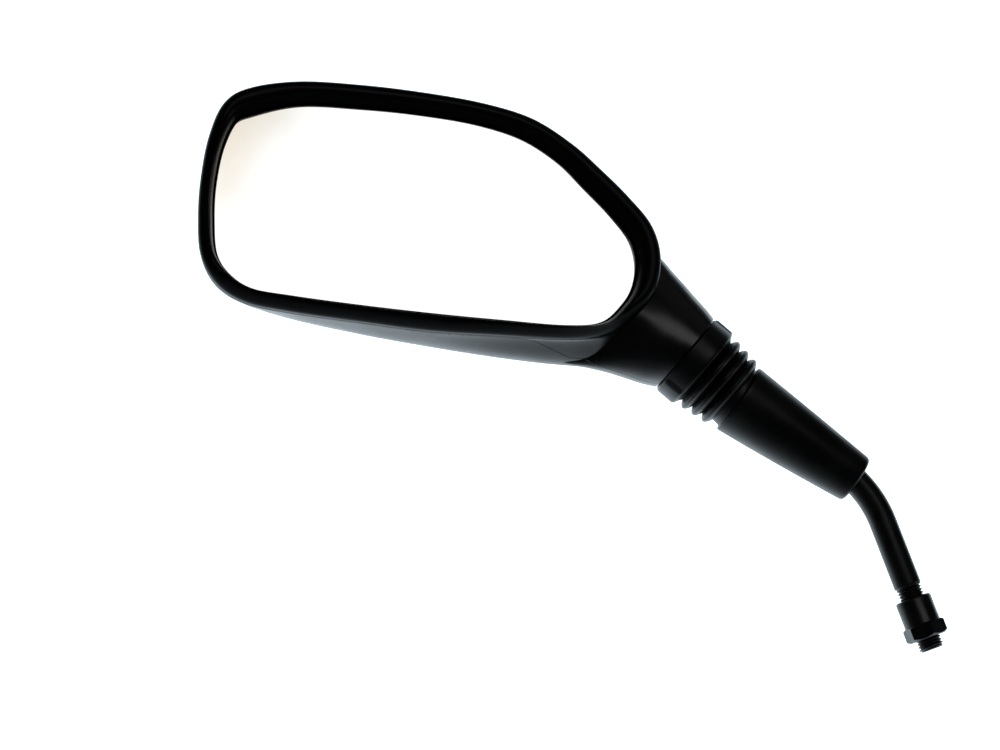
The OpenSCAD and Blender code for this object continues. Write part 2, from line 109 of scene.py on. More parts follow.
@dataclass
class Sheet:
    """A grid of points with rows and columns, and which of its sides meet.

    Attributes:
        points: rows x columns x 3, in millimetres.
        wrap_rows: the last row joins the first.
        wrap_columns: the last column joins the first.
        cap_first: a face closes the first row.
        cap_last: a face closes the last row.
    """

    points: Array
    wrap_rows: bool = False
    wrap_columns: bool = True
    cap_first: bool = False
    cap_last: bool = False

    def faces(self) -> list[list[int]]:
        """Lists the faces: a point's number is its row times the columns, plus its column.

        Returns:
            The vertex numbers of each face, in order round it.
        """
        rows, cols = self.points.shape[:2]
        i = np.arange(rows if self.wrap_rows else rows - 1)[:, None] * cols
        j = np.arange(cols if self.wrap_columns else cols - 1)[None, :]
        i_next, j_next = (i + cols) % (rows * cols), (j + 1) % cols
        out = np.stack([i + j, i + j_next, i_next + j_next, i_next + j], -1).reshape(-1, 4).tolist()
        if self.cap_first:
            out.append(np.arange(cols)[::-1].tolist())
        if self.cap_last:
            out.append(((rows - 1) * cols + np.arange(cols)).tolist())
        return out


def enclosed(points: Array, faces: list[list[int]]) -> float:
    """Six times the volume inside closed faces: the sum of a . (b x c) over fans of triangles a, b, c.

    Args:
        points: the vertices, n x 3.
        faces: the vertex numbers of each face.

    Returns:
        The sixfold volume, less than zero where the faces point inwards.
    """
    total = 0.0
    by_size: dict[int, list[list[int]]] = {}
    for face in faces:
        by_size.setdefault(len(face), []).append(face)
    for size, group in by_size.items():
        g = np.array(group)
        for k in range(1, size - 1):
            a, b, c = points[g[:, 0]], points[g[:, k]], points[g[:, k + 1]]
            total += float(np.einsum("ij,ij->i", a, np.cross(b, c)).sum())
    return total


def smooth_object(name: str, points: Array, faces: list[list[int]]) -> bpy.types.Object:
    """Makes a smoothly shaded object, at the origin.

    Args:
        name: the object's name.
        points: the vertices, n x 3, in millimetres.
        faces: the vertex numbers of each face.

    Returns:
        The new object, linked to the scene.
    """
    mesh = bpy.data.meshes.new(name)
    mesh.from_pydata((points * METRES).tolist(), [], faces)
    mesh.polygons.foreach_set("use_smooth", [True] * len(mesh.polygons))
    mesh.update()
    made = bpy.data.objects.new(name, mesh)
    bpy.context.scene.collection.objects.link(made)
    return made


def build_object(name: str, sheets: list[Sheet], sharp: float = 35.0) -> bpy.types.Object:
    """Makes one object of closed sheets, with faces pointing outwards.

    Args:
        name: the object's name.
        sheets: closed surfaces, in millimetres.
        sharp: faces that meet at more than this many degrees keep a hard edge.

    Returns:
        The new object, at the origin.
    """
    all_points: list[Array] = []
    all_faces: list[list[int]] = []
    start = 0
    for sheet in sheets:
        points = sheet.points.reshape(-1, 3)
        faces = sheet.faces()
        if enclosed(points, faces) < 0.0:
            faces = [face[::-1] for face in faces]
        all_points.append(points)
        all_faces.extend([[start + k for k in face] for face in faces])
        start += len(points)
    piece = smooth_object(name, np.vstack(all_points), all_faces)
    piece.data.set_sharp_from_angle(angle=math.radians(sharp))
    return piece


def shell(outer: Array, inner: Array) -> Sheet:
    """Joins an outer and an inner grid round all four sides into one closed surface.

    Each row runs along the outer grid and back along the inner one, and the first and last rows fold shut because
    the rows added there lie on the middle, half of outer + inner.

    Args:
        outer: rows x columns x 3.
        inner: the same number of rows and columns.

    Returns:
        The closed surface.
    """
    ring = np.concatenate([outer, inner[:, ::-1]], axis=1)
    middle = 0.5 * (outer + inner)
    fold = np.concatenate([middle, middle[:, ::-1]], axis=1)
    return Sheet(np.concatenate([fold[:1], ring, fold[-1:]], axis=0))


@dataclass(frozen=True)
class Layout:
    """The stem's line and the ball's centre, from the same sizes as the part's source.

    Attributes:
        lower_angle: how far the threaded end stands up from the horizontal, in degrees.
        upper_angle: the same for the length that carries the ball.
        stem_drop: from the lock nut's seat to where the stem's two straight lines meet.
        arm_length: from there to the ball's centre.
        bend_radius: the bend's radius at the rod's centre.
        neck_angle: how far the neck's axis stands up from the horizontal, in degrees.
        neck_reach: from the ball's centre out to the neck's open end.
        neck_radius: the open end's radius.
    """

    lower_angle: float = 70.0
    upper_angle: float = 35.8
    stem_drop: float = 63.1
    arm_length: float = 104.6
    bend_radius: float = 45.0
    neck_angle: float = 39.6
    neck_reach: float = 11.0
    neck_radius: float = 18.1

    @staticmethod
    def along(angle: float) -> Array:
        """The direction up and toward the head at an angle above the horizontal, in degrees."""
        a = math.radians(angle)
        return np.array([-math.cos(a), 0.0, math.sin(a)])

    @property
    def knee(self) -> Array:
        """Where the stem's two straight lines meet."""
        return self.stem_drop * self.along(self.lower_angle)

    @property
    def ball(self) -> Array:
        """The ball's centre."""
        return self.knee + self.arm_length * self.along(self.upper_angle)

    @property
    def neck_in(self) -> Array:
        """The neck's direction, from its open end into the head."""
        return self.along(self.neck_angle)

    @property
    def neck_end(self) -> Array:
        """The centre of the neck's open end."""
        return self.ball - self.neck_reach * self.neck_in


LAYOUT = Layout()


def rings(centres: Array, directions: Array, radii: Array, columns: int) -> Array:
    """Round sections carried along a path in the X-Z plane.

    A point is centre + r (cos(a) side + sin(a) Y), where side is the direction turned a quarter in the X-Z plane.

    Args:
        centres: rows x 3.
        directions: rows x 3, the path's direction at each row.
        radii: rows, or rows x columns.
        columns: points round each section.

    Returns:
        rows x columns x 3.
    """
    d = unit(directions)
    side = np.stack([d[:, 2], np.zeros(len(d)), -d[:, 0]], -1)
    turn = np.arange(columns) * TAU / columns
    r = radii if radii.ndim == 2 else radii[:, None]
    across = np.cos(turn)[None, :, None] * side[:, None] + np.sin(turn)[None, :, None] * np.array([0.0, 1.0, 0.0])
    return centres[:, None] + r[..., None] * across


class Look(Enum):
    """The looks, named after the record's material slots; the rim has a duller one of its own."""

    BLACK_STEEL = "black_steel"
    BARE_STEEL = "bare_steel"
    RUBBER = "boot_rubber"
    NYLON = "seat_plastic"
    BRASS = "insert_brass"
    HOUSING = "housing_plastic"
    RIM = "rim_plastic"
    MIRROR = "mirror"
    FOAM = "pad_foam"


@dataclass(frozen=True)
class Wiring:
    """Short ways to add shader nodes; each takes sockets or plain values and returns the socket of its result.

    Attributes:
        tree: the nodes that the new ones join.
    """

    tree: bpy.types.NodeTree

    def feed(self, socket: Socket, value: Value) -> None:
        """Links a socket to another one, or sets a plain value on it.

        Args:
            socket: the input to fill.
            value: what fills it.
        """
        if isinstance(value, bpy.types.NodeSocket):
            self.tree.links.new(value, socket)
        else:
            socket.default_value = value

    def place(self) -> Socket:
        """Object coordinates, which are the part's own frame in metres."""
        return self.tree.nodes.new("ShaderNodeTexCoord").outputs["Object"]

    def operate(self, kind: str, operation: str, values: tuple[Value, ...], result: str) -> Socket:
        """Adds a node that works out an operation.

        Args:
            kind: the node's type.
            operation: what it works out.
            values: its inputs, in order.
            result: the name of its output.

        Returns:
            The output.
        """
        node = self.tree.nodes.new(kind)
        node.operation = operation
        for socket, value in zip(node.inputs, values):
            self.feed(socket, value)
        return node.outputs[result]

    def number(self, operation: str, *values: Value) -> Socket:
        """An operation on numbers."""
        return self.operate("ShaderNodeMath", operation, values, "Value")

    def vector(self, operation: str, *values: Value) -> Socket:
        """An operation on vectors that gives a vector."""
        return self.operate("ShaderNodeVectorMath", operation, values, "Vector")

    def length(self, vector: Value) -> Socket:
        """A vector's length."""
        return self.operate("ShaderNodeVectorMath", "LENGTH", (vector,), "Value")

    def ramp(self, value: Value, source: tuple[float, float], target: tuple[float, float],
             smooth: bool = False) -> Socket:
        """Maps a value from one range to another and keeps it inside.

        Args:
            value: what is mapped.
            source: the range that it comes from.
            target: the range that it goes to.
            smooth: whether it leaves and arrives softly, by 3t^2 - 2t^3.

        Returns:
            The mapped value.
        """
        node = self.tree.nodes.new("ShaderNodeMapRange")
        node.interpolation_type = "SMOOTHSTEP" if smooth else "LINEAR"
        for name, end in zip(("From Min", "From Max", "To Min", "To Max"), (*source, *target)):
            node.inputs[name].default_value = end
        self.feed(node.inputs["Value"], value)
        return node.outputs["Result"]

    def mix(self, kind: str, factor: Socket, a: Value, b: Value) -> Socket:
        """Blends two colours or two numbers.

        Args:
            kind: RGBA or FLOAT.
            factor: how much of the second one shows.
            a: the first one.
            b: the second one.

        Returns:
            The blend.
        """
        node = self.tree.nodes.new("ShaderNodeMix")
        node.data_type = kind
        for name, value in (("Factor", factor), ("A", a), ("B", b)):
            self.feed(node.inputs[name], value)
        return node.outputs["Result"]

    def noise(self, place: Socket, scale: float, detail: float) -> Socket:
        """Cloudy noise.

        Args:
            place: where it is looked up.
            scale: blotches a metre.
            detail: how many times finer blotches are laid over it.

        Returns:
            The noise, from 0 to 1.
        """
        node = self.tree.nodes.new("ShaderNodeTexNoise")
        for name, value in (("Vector", place), ("Scale", scale), ("Detail", detail)):
            self.feed(node.inputs[name], value)
        return node.outputs["Fac"]

    def seen(self, thrown: Value, shown: float) -> Socket:
        """A strength of light that is one value where it is thrown on things and another where it is looked at.

        Args:
            thrown: the strength that lights and mirrors see.
            shown: the strength that a camera sees, the same from every side.

        Returns:
            The strength.
        """
        path = self.tree.nodes.new("ShaderNodeLightPath")
        return self.mix("FLOAT", path.outputs["Is Camera Ray"], thrown, shown)


@dataclass(frozen=True)
class Mark:
    """A local mark in a finish: a blotch, a chip, or a patch of painted reflection.

    Attributes:
        centre: its middle, in millimetres of the part's frame.
        reach: how far it spreads along X, Y and Z, in millimetres.
        colour: its colour.
        roughness: its roughness.
        strength: how much of it covers the finish at its middle.
        soft: the share of its reach where it fades out.
        broken: how much noise breaks it up, 0 to 1.
        holes: how many of the noise's blotches fit in its widest reach.
        hole_edge: the values of the noise between which a hole ends.
        hole_detail: how many times finer blotches are laid over it.
    """

    centre: Triple
    reach: Triple
    colour: Triple
    roughness: float
    strength: float = 1.0
    soft: float = 0.6
    broken: float = 0.5
    holes: float = 2.5
    hole_edge: tuple[float, float] = (0.4, 0.6)
    hole_detail: float = 5.0

    def factor(self, wires: Wiring, place: Socket) -> Socket:
        """The mark's strength: it falls smoothly with |(place - centre) / reach| and is broken up by noise.

        Args:
            wires: the nodes to add to.
            place: the place, in metres.

        Returns:
            The strength, from 0 to 1.
        """
        away = wires.vector("SUBTRACT", place, tuple(METRES * c for c in self.centre))
        far = wires.length(wires.vector("DIVIDE", away, tuple(METRES * r for r in self.reach)))
        fall = wires.ramp(far, (1.0 - self.soft, 1.0), (self.strength, 0.0), smooth=True)
        noise = wires.noise(place, self.holes / METRES / max(self.reach), self.hole_detail)
        return wires.number("MULTIPLY", fall, wires.ramp(noise, self.hole_edge, (1.0 - self.broken, 1.0)))


@dataclass(frozen=True)
class Finish:
    """A surface finish: its colour, its gloss, and how both drift over the surface.

    Attributes:
        look: which look it is.
        colour: the main colour, linear.
        second: the colour that patches drift to.
        roughness: the lowest and the highest roughness.
        metallic: 1 for bare metal.
        specular: the strength of a plastic's own gloss.
        patch_size: patches a metre.
        patch_edge: the values of the noise between which a patch ends.
        patch_detail: how many times finer patches are laid over the first.
        grain_size: bumps a metre.
        grain: how deep the bumps look.
        grain_height: a bump's height where grain is 1, in metres.
        grain_detail: how many times finer bumps are laid over the first.
        streak: how much the grain is drawn out along X.
        marks: local marks laid over it.
    """

    look: Look
    colour: Triple
    second: Triple
    roughness: tuple[float, float]
    metallic: float = 0.0
    specular: float = 0.5
    patch_size: float = 40.0
    patch_edge: tuple[float, float] = (0.35, 0.7)
    patch_detail: float = 6.0
    grain_size: float = 1500.0
    grain: float = 0.05
    grain_height: float = 0.0002
    grain_detail: float = 3.0
    streak: float = 1.0
    marks: tuple[Mark, ...] = ()

    def material(self) -> bpy.types.Material:
        """Builds the node material: patches of noise mix the colours and the gloss, fine noise lifts the bumps.

        Returns:
            The material, named after its look.
        """
        mat = bpy.data.materials.new(self.look.value)
        mat.use_nodes = True
        nodes = mat.node_tree.nodes
        wires = Wiring(mat.node_tree)
        place = wires.place()
        stretch = nodes.new("ShaderNodeMapping")
        stretch.inputs["Scale"].default_value = (1.0 / self.streak, 1.0, 1.0)
        wires.feed(stretch.inputs["Vector"], place)
        drawn = stretch.outputs["Vector"]
        patch = wires.ramp(wires.noise(drawn, self.patch_size, self.patch_detail), self.patch_edge, (0.0, 1.0))
        colour = wires.mix("RGBA", patch, (*self.colour, 1.0), (*self.second, 1.0))
        rough = wires.ramp(patch, (0.0, 1.0), self.roughness)
        for mark in self.marks:
            factor = mark.factor(wires, place)
            colour = wires.mix("RGBA", factor, colour, (*mark.colour, 1.0))
            rough = wires.mix("FLOAT", factor, rough, mark.roughness)
        bump = nodes.new("ShaderNodeBump")
        bump.inputs["Strength"].default_value = self.grain
        bump.inputs["Distance"].default_value = self.grain_height
        wires.feed(bump.inputs["Height"], wires.noise(drawn, self.grain_size, self.grain_detail))
        shader = nodes["Principled BSDF"]
        shader.inputs["Metallic"].default_value = self.metallic
        shader.inputs["Specular IOR Level"].default_value = self.specular
        wires.feed(shader.inputs["Base Color"], colour)
        wires.feed(shader.inputs["Roughness"], rough)
        wires.feed(shader.inputs["Normal"], bump.outputs["Normal"])
        return mat


# A pale, rougher smear on the housing's underside, below the middle of the rim.
PALE_SMEAR = Mark((-206.5, -10.6, 113.2), (9.5, 4.5, 2.4), (0.2, 0.21, 0.21), 0.6, strength=0.9, soft=0.5, broken=0.6)
# Painted reflection: two darker cream patches in the glass's colour, at its upper left and further down its left
# side, stand in for a cream tone in what the glass reflects.
CREAM_REFLECTION = Mark((-287.0, -13.0, 213.0), (50.0, 60.0, 42.0), (0.54, 0.49, 0.39), 0.03, soft=0.9, broken=0.2)
LOWER_CREAM_REFLECTION = Mark((-290.0, -13.0, 188.0), (27.0, 60.0, 46.0), (0.7, 0.62, 0.5), 0.02, strength=0.8, soft=0.9,
                  broken=0.2)
CHIP = Mark((-291.2, -12.0, 163.5), (1.4, 9.0, 2.2), (0.02, 0.02, 0.02), 0.5, soft=0.5, broken=0.9)
FINISHES = {
    Look.BLACK_STEEL: Finish(Look.BLACK_STEEL, (0.003, 0.003, 0.0035), (0.006, 0.006, 0.0065), (0.26, 0.4),
                             specular=0.4, patch_size=120.0, grain_size=2500.0, grain=0.08),
    Look.BARE_STEEL: Finish(Look.BARE_STEEL, (0.45, 0.45, 0.46), (0.36, 0.36, 0.37), (0.28, 0.45),
                            metallic=1.0, patch_size=150.0, grain_size=3000.0, grain=0.1, streak=6.0),
    Look.RUBBER: Finish(Look.RUBBER, (0.0025, 0.0025, 0.0025), (0.005, 0.005, 0.005), (0.3, 0.44),
                        specular=0.3, patch_size=70.0, grain_size=1800.0, grain=0.12),
    Look.NYLON: Finish(Look.NYLON, (0.72, 0.69, 0.62), (0.65, 0.62, 0.55), (0.4, 0.5),
                       patch_size=90.0, grain_size=900.0, grain=0.05),
    Look.BRASS: Finish(Look.BRASS, (0.75, 0.55, 0.25), (0.6, 0.43, 0.2), (0.25, 0.4),
                       metallic=1.0, patch_size=200.0, grain_size=3000.0, grain=0.1),
    Look.HOUSING: Finish(Look.HOUSING, (0.002, 0.002, 0.0025), (0.004, 0.004, 0.0045), (0.22, 0.32),
                         specular=0.5, patch_size=35.0, grain_size=1400.0, grain=0.06,
                         marks=(PALE_SMEAR,)),
    Look.RIM: Finish(Look.RIM, (0.002, 0.002, 0.002), (0.004, 0.004, 0.004), (0.3, 0.4),
                     specular=0.09, patch_size=45.0, grain_size=2200.0, grain=0.12),
    Look.MIRROR: Finish(Look.MIRROR, (0.95, 0.955, 0.96), (0.93, 0.93, 0.92), (0.0, 0.02),
                        metallic=1.0, patch_size=25.0, grain_size=200.0, grain=0.0,
                        # The two cream marks are painted reflection; the chip is a dark chip at the glass's edge.
                        marks=(CREAM_REFLECTION, LOWER_CREAM_REFLECTION, CHIP)),
    Look.FOAM: Finish(Look.FOAM, (0.02, 0.02, 0.02), (0.03, 0.03, 0.03), (0.8, 0.95),
                      specular=0.2, patch_size=150.0, grain_size=900.0, grain=0.5),
}


class Palette:
    """Hands out one material a look."""

    def __init__(self) -> None:
        """Builds every finish's material once."""
        self.made = {look: finish.material() for look, finish in FINISHES.items()}

    def dress(self, piece: bpy.types.Object, look: Look) -> None:
        """Gives a piece the material of a look, on all its material slots.

        Args:
            piece: the piece.
            look: its look.
        """
        materials = piece.data.materials
        if not len(materials):
            materials.append(self.made[look])
        for k in range(len(materials)):
            materials[k] = self.made[look]


@dataclass
class HeadOutline:
    """The rim's outline in the head's plane, as [x, z] from the ball's centre.

    Attributes:
        width: the head's width across the rim.
        height: the head's height across the rim.
        corner: the lower right corner of the outline's box.
        front: depth of the rim's front.
        part: depth of the parting between rim and cover.
        back: depth of the cover's back.
        glass: depth of the glass's middle.
        steps: stations a control point.
        pole_share: the cover's pole as shares of width and height from the corner.
        shares: control points as shares of width and height from the corner.
        swells: how far the cover swells out beyond each control point.
        lips: how far the rim's lip reaches further over the glass at each control point.
    """

    width: float = 184.9
    height: float = 101.1
    corner: tuple[float, float] = (-4.87, -7.88)
    front: float = -20.0
    part: float = -11.0
    back: float = 20.0
    glass: float = -13.6
    steps: int = 8
    pole_share: tuple[float, float] = (-0.36, 0.41)
    shares: tuple[tuple[float, float], ...] = (
        (-0.8968, 0.958), (-0.7897, 0.997), (-0.655, 0.998), (-0.528, 0.984), (-0.3955, 0.955),
        (-0.285, 0.903), (-0.1965, 0.807), (-0.130, 0.702), (-0.0685, 0.592), (-0.0190, 0.480),
        (0.0, 0.351), (-0.0125, 0.213), (-0.0505, 0.112), (-0.1125, 0.032), (-0.201, 0.001),
        (-0.3525, 0.002), (-0.504, 0.007), (-0.6555, 0.031), (-0.8017, 0.0575), (-0.896, 0.088),
        (-0.9581, 0.1562), (-0.992, 0.267), (-1.0, 0.425), (-0.9965, 0.584), (-0.982, 0.752),
        (-0.952, 0.890))
    swells: tuple[float, ...] = (
        -1.2, -0.8, -0.4, 0.0, 0.0, 0.0, 0.0, 0.0, 0.0, 0.0, 0.0, 0.0, 7.0, 10.4, 8.0, 5.9, 3.09, 1.52, -0.87,
        -3.48, -2.84, -2.6, -2.2, -2.0, -1.8, -1.4)
    lips: tuple[float, ...] = (
        1.25, 0.3, 0.6, 0.4, 0.2, 0.25, 0.1, 0.75, 0.65, 0.85, 1.0, 0.75, -0.3, -1.8, -1.3, -0.7, 0.1, -0.3, -0.3,
        -0.6, -0.35, -1.1, -1.4, -1.6, -1.15, 0.0)
    line: Array = field(init=False)
    inward: Array = field(init=False)
    belly: Array = field(init=False)
    reach: Array = field(init=False)

    def __post_init__(self) -> None:
        """Works out the stations, the directions straight in from them, and their swell and lip."""
        self.line = catmull(self.at(self.shares), self.steps, closed=True)
        t = np.roll(self.line, -1, 0) - np.roll(self.line, 1, 0)
        self.inward = unit(np.stack([t[:, 1], -t[:, 0]], -1))
        self.belly = catmull(np.array(self.swells)[:, None], self.steps, closed=True)[:, 0]
        self.reach = catmull(np.array(self.lips)[:, None], self.steps, closed=True)[:, 0]

    def at(self, shares: tuple[tuple[float, float], ...] | tuple[float, float]) -> Array:
        """The places [x, z] at shares of width and height from the corner."""
        return np.array(self.corner) + np.array(shares) * np.array([self.width, self.height])

    @property
    def middle(self) -> Array:
        """The middle of the outline's box."""
        return self.at((-0.5, 0.5))

    @property
    def pole(self) -> Array:
        """The point that the cover's rings shrink to, nearer to the neck."""
        return self.at(self.pole_share)

    def inset(self, distance: float | Array) -> Array:
        """The outline moved in by a distance, one for all stations or one each."""
        return self.line + np.reshape(distance, (-1, 1)) * self.inward

    def signed(self, points: Array) -> Array:
        """How far points lie inside the outline: (point - nearest station) . inward there.

        Args:
            points: any grid of [x, z].

        Returns:
            The distance of each point, less than zero outside.
        """
        flat = points.reshape(-1, 2)
        gap = flat[:, None] - self.line[None]
        near = np.argmin((gap**2).sum(-1), axis=1)
        own = np.einsum("ij,ij->i", flat - self.line[near], self.inward[near])
        return own.reshape(points.shape[:-1])


def lift(flat: Array, depth: float | Array) -> Array:
    """Puts places at a depth: the point is [x + ball x, depth, z + ball z].

    Args:
        flat: any grid of [x, z], from the ball's centre.
        depth: one depth, or one for each place.

    Returns:
        The same grid with three values, in the part's frame.
    """
    y = np.broadcast_to(depth, flat.shape[:-1])
    ball = LAYOUT.ball
    return np.stack([flat[..., 0] + ball[0], y, flat[..., 1] + ball[2]], -1)


@dataclass
class NeckLoft:
    """The flared neck: ovals from its round end to deep inside the head.

    Attributes:
        ramp: how far into the neck the parting leaves its level, and where it reaches the rim's parting depth.
        level: the parting's depth along the neck.
        part: the rim's parting depth.
        steps: stations a section.
        tuck_edge: how far down the front of an oval the tuck starts and is full, as minus its turn's cosine.
        sections: low x, low z, high x, high z, front depth, back depth, from the ball's centre, and how much the
            lower front is tucked in.
    """

    ramp: tuple[float, float] = (33.5, 50.8)
    level: float = -1.5
    part: float = -11.0
    steps: int = 8
    tuck_edge: tuple[float, float] = (0.0, 0.9)
    sections: tuple[tuple[float, ...], ...] = (
        (-9.0, -19.9, 17.1, 11.0, -17.8, 18.2, 0.0), (-16.0, -17.9, 12.8, 16.0, -17.4, 18.4, 0.05),
        (-23.7, -15.8, 8.5, 21.4, -16.6, 18.4, 0.2), (-31.8, -14.2, 4.1, 26.8, -15.2, 18.4, 0.45),
        (-40.9, -13.0, -0.3, 32.4, -13.6, 18.0, 0.65), (-49.0, -10.3, -5.9, 37.0, -12.2, 17.0, 0.75),
        (-55.9, -5.9, -12.8, 41.3, -10.5, 15.0, 0.8), (-60.4, -0.7, -21.8, 43.3, -9.0, 12.0, 0.8))

    def stations(self) -> Array:
        """All the stations: the round end and the sections, refined.

        Returns:
            Stations x 7, in the order of the sections' values.
        """
        a = math.radians(LAYOUT.neck_angle)
        end = LAYOUT.neck_reach * np.array([math.cos(a), -math.sin(a)])
        side = np.array([math.sin(a), math.cos(a)])
        r = LAYOUT.neck_radius
        first = np.concatenate([end - r * side, end + r * side, [-r, r, 0.0]])
        return catmull(np.vstack([first, np.array(self.sections)]), self.steps, closed=False)

    def point(self, rows: Array, turn: Array, take: float) -> tuple[Array, Array]:
        """Points of the ovals: middle + half cos(turn) side, and depth middle + deep sin(turn) (1 - tuck).

        Args:
            rows: stations x 7.
            turn: stations x columns, in radians.
            take: how far the ovals are taken in.

        Returns:
            The [x, z] places and the depths.
        """
        low, high = rows[:, 0:2], rows[:, 2:4]
        across = high - low
        length = np.linalg.norm(across, axis=1)
        half = (0.5 * length - take)[:, None, None]
        deep = (0.5 * (rows[:, 5] - rows[:, 4]) - take)[:, None]
        flat = 0.5 * (low + high)[:, None] + half * np.cos(turn)[..., None] * (across / length[:, None])[:, None]
        tuck = rows[:, 6:7] * smoothstep(-np.cos(turn), *self.tuck_edge) * (np.sin(turn) < 0.0)
        return flat, 0.5 * (rows[:, 4] + rows[:, 5])[:, None] + deep * np.sin(turn) * (1.0 - tuck)

    def parting(self, flat: Array) -> Array:
        """The parting's depth: level along the neck, then a ramp in the place's distance along it.

        Args:
            flat: any grid of [x, z].

        Returns:
            The depth over each place.
        """
        a = math.radians(LAYOUT.neck_angle)
        into = flat @ np.array([-math.cos(a), math.sin(a)]) + LAYOUT.neck_reach
        return np.interp(into, self.ramp, [self.level, self.part])

    def crossing(self, rows: Array, start: float, stop: float, gap: float, take: float) -> Array:
        """The turn at which each oval crosses the parting, found by halving a stretch of turns 40 times.

        Args:
            rows: stations x 7.
            start: a turn in front of the parting.
            stop: a turn behind it.
            gap: how far behind the parting the crossing is looked for.
            take: how far the ovals are taken in.

        Returns:
            One turn a station.
        """
        low = np.full((len(rows), 1), start)
        high = np.full((len(rows), 1), stop)
        for _ in range(40):
            middle = 0.5 * (low + high)
            flat, depth = self.point(rows, middle, take)
            behind = depth > self.parting(flat) + gap
            high = np.where(behind, middle, high)
            low = np.where(behind, low, middle)
        return (0.5 * (low + high))[:, 0]

    def half(self, front: bool, take: float, gap: float, columns: int) -> tuple[Array, Array]:
        """The ovals on one side of the parting, with the turn in even steps between its two crossings.

        Args:
            front: whether it is the side toward the glass.
            take: how far the ovals are taken in.
            gap: the clearance to the parting.
            columns: points along each oval.

        Returns:
            The [x, z] places and the depths, stations x columns.
        """
        rows = self.stations()
        gap = -gap if front else gap
        high = self.crossing(rows, -0.5 * math.pi, 0.5 * math.pi, gap, take)
        low = self.crossing(rows, -0.5 * math.pi, -1.5 * math.pi, gap, take)
        if not front:
            low = low + TAU
        share = np.linspace(0.0, 1.0, columns)[None]
        turn = high[:, None] * (1 - share) + low[:, None] * share
        return self.point(rows, turn, take)


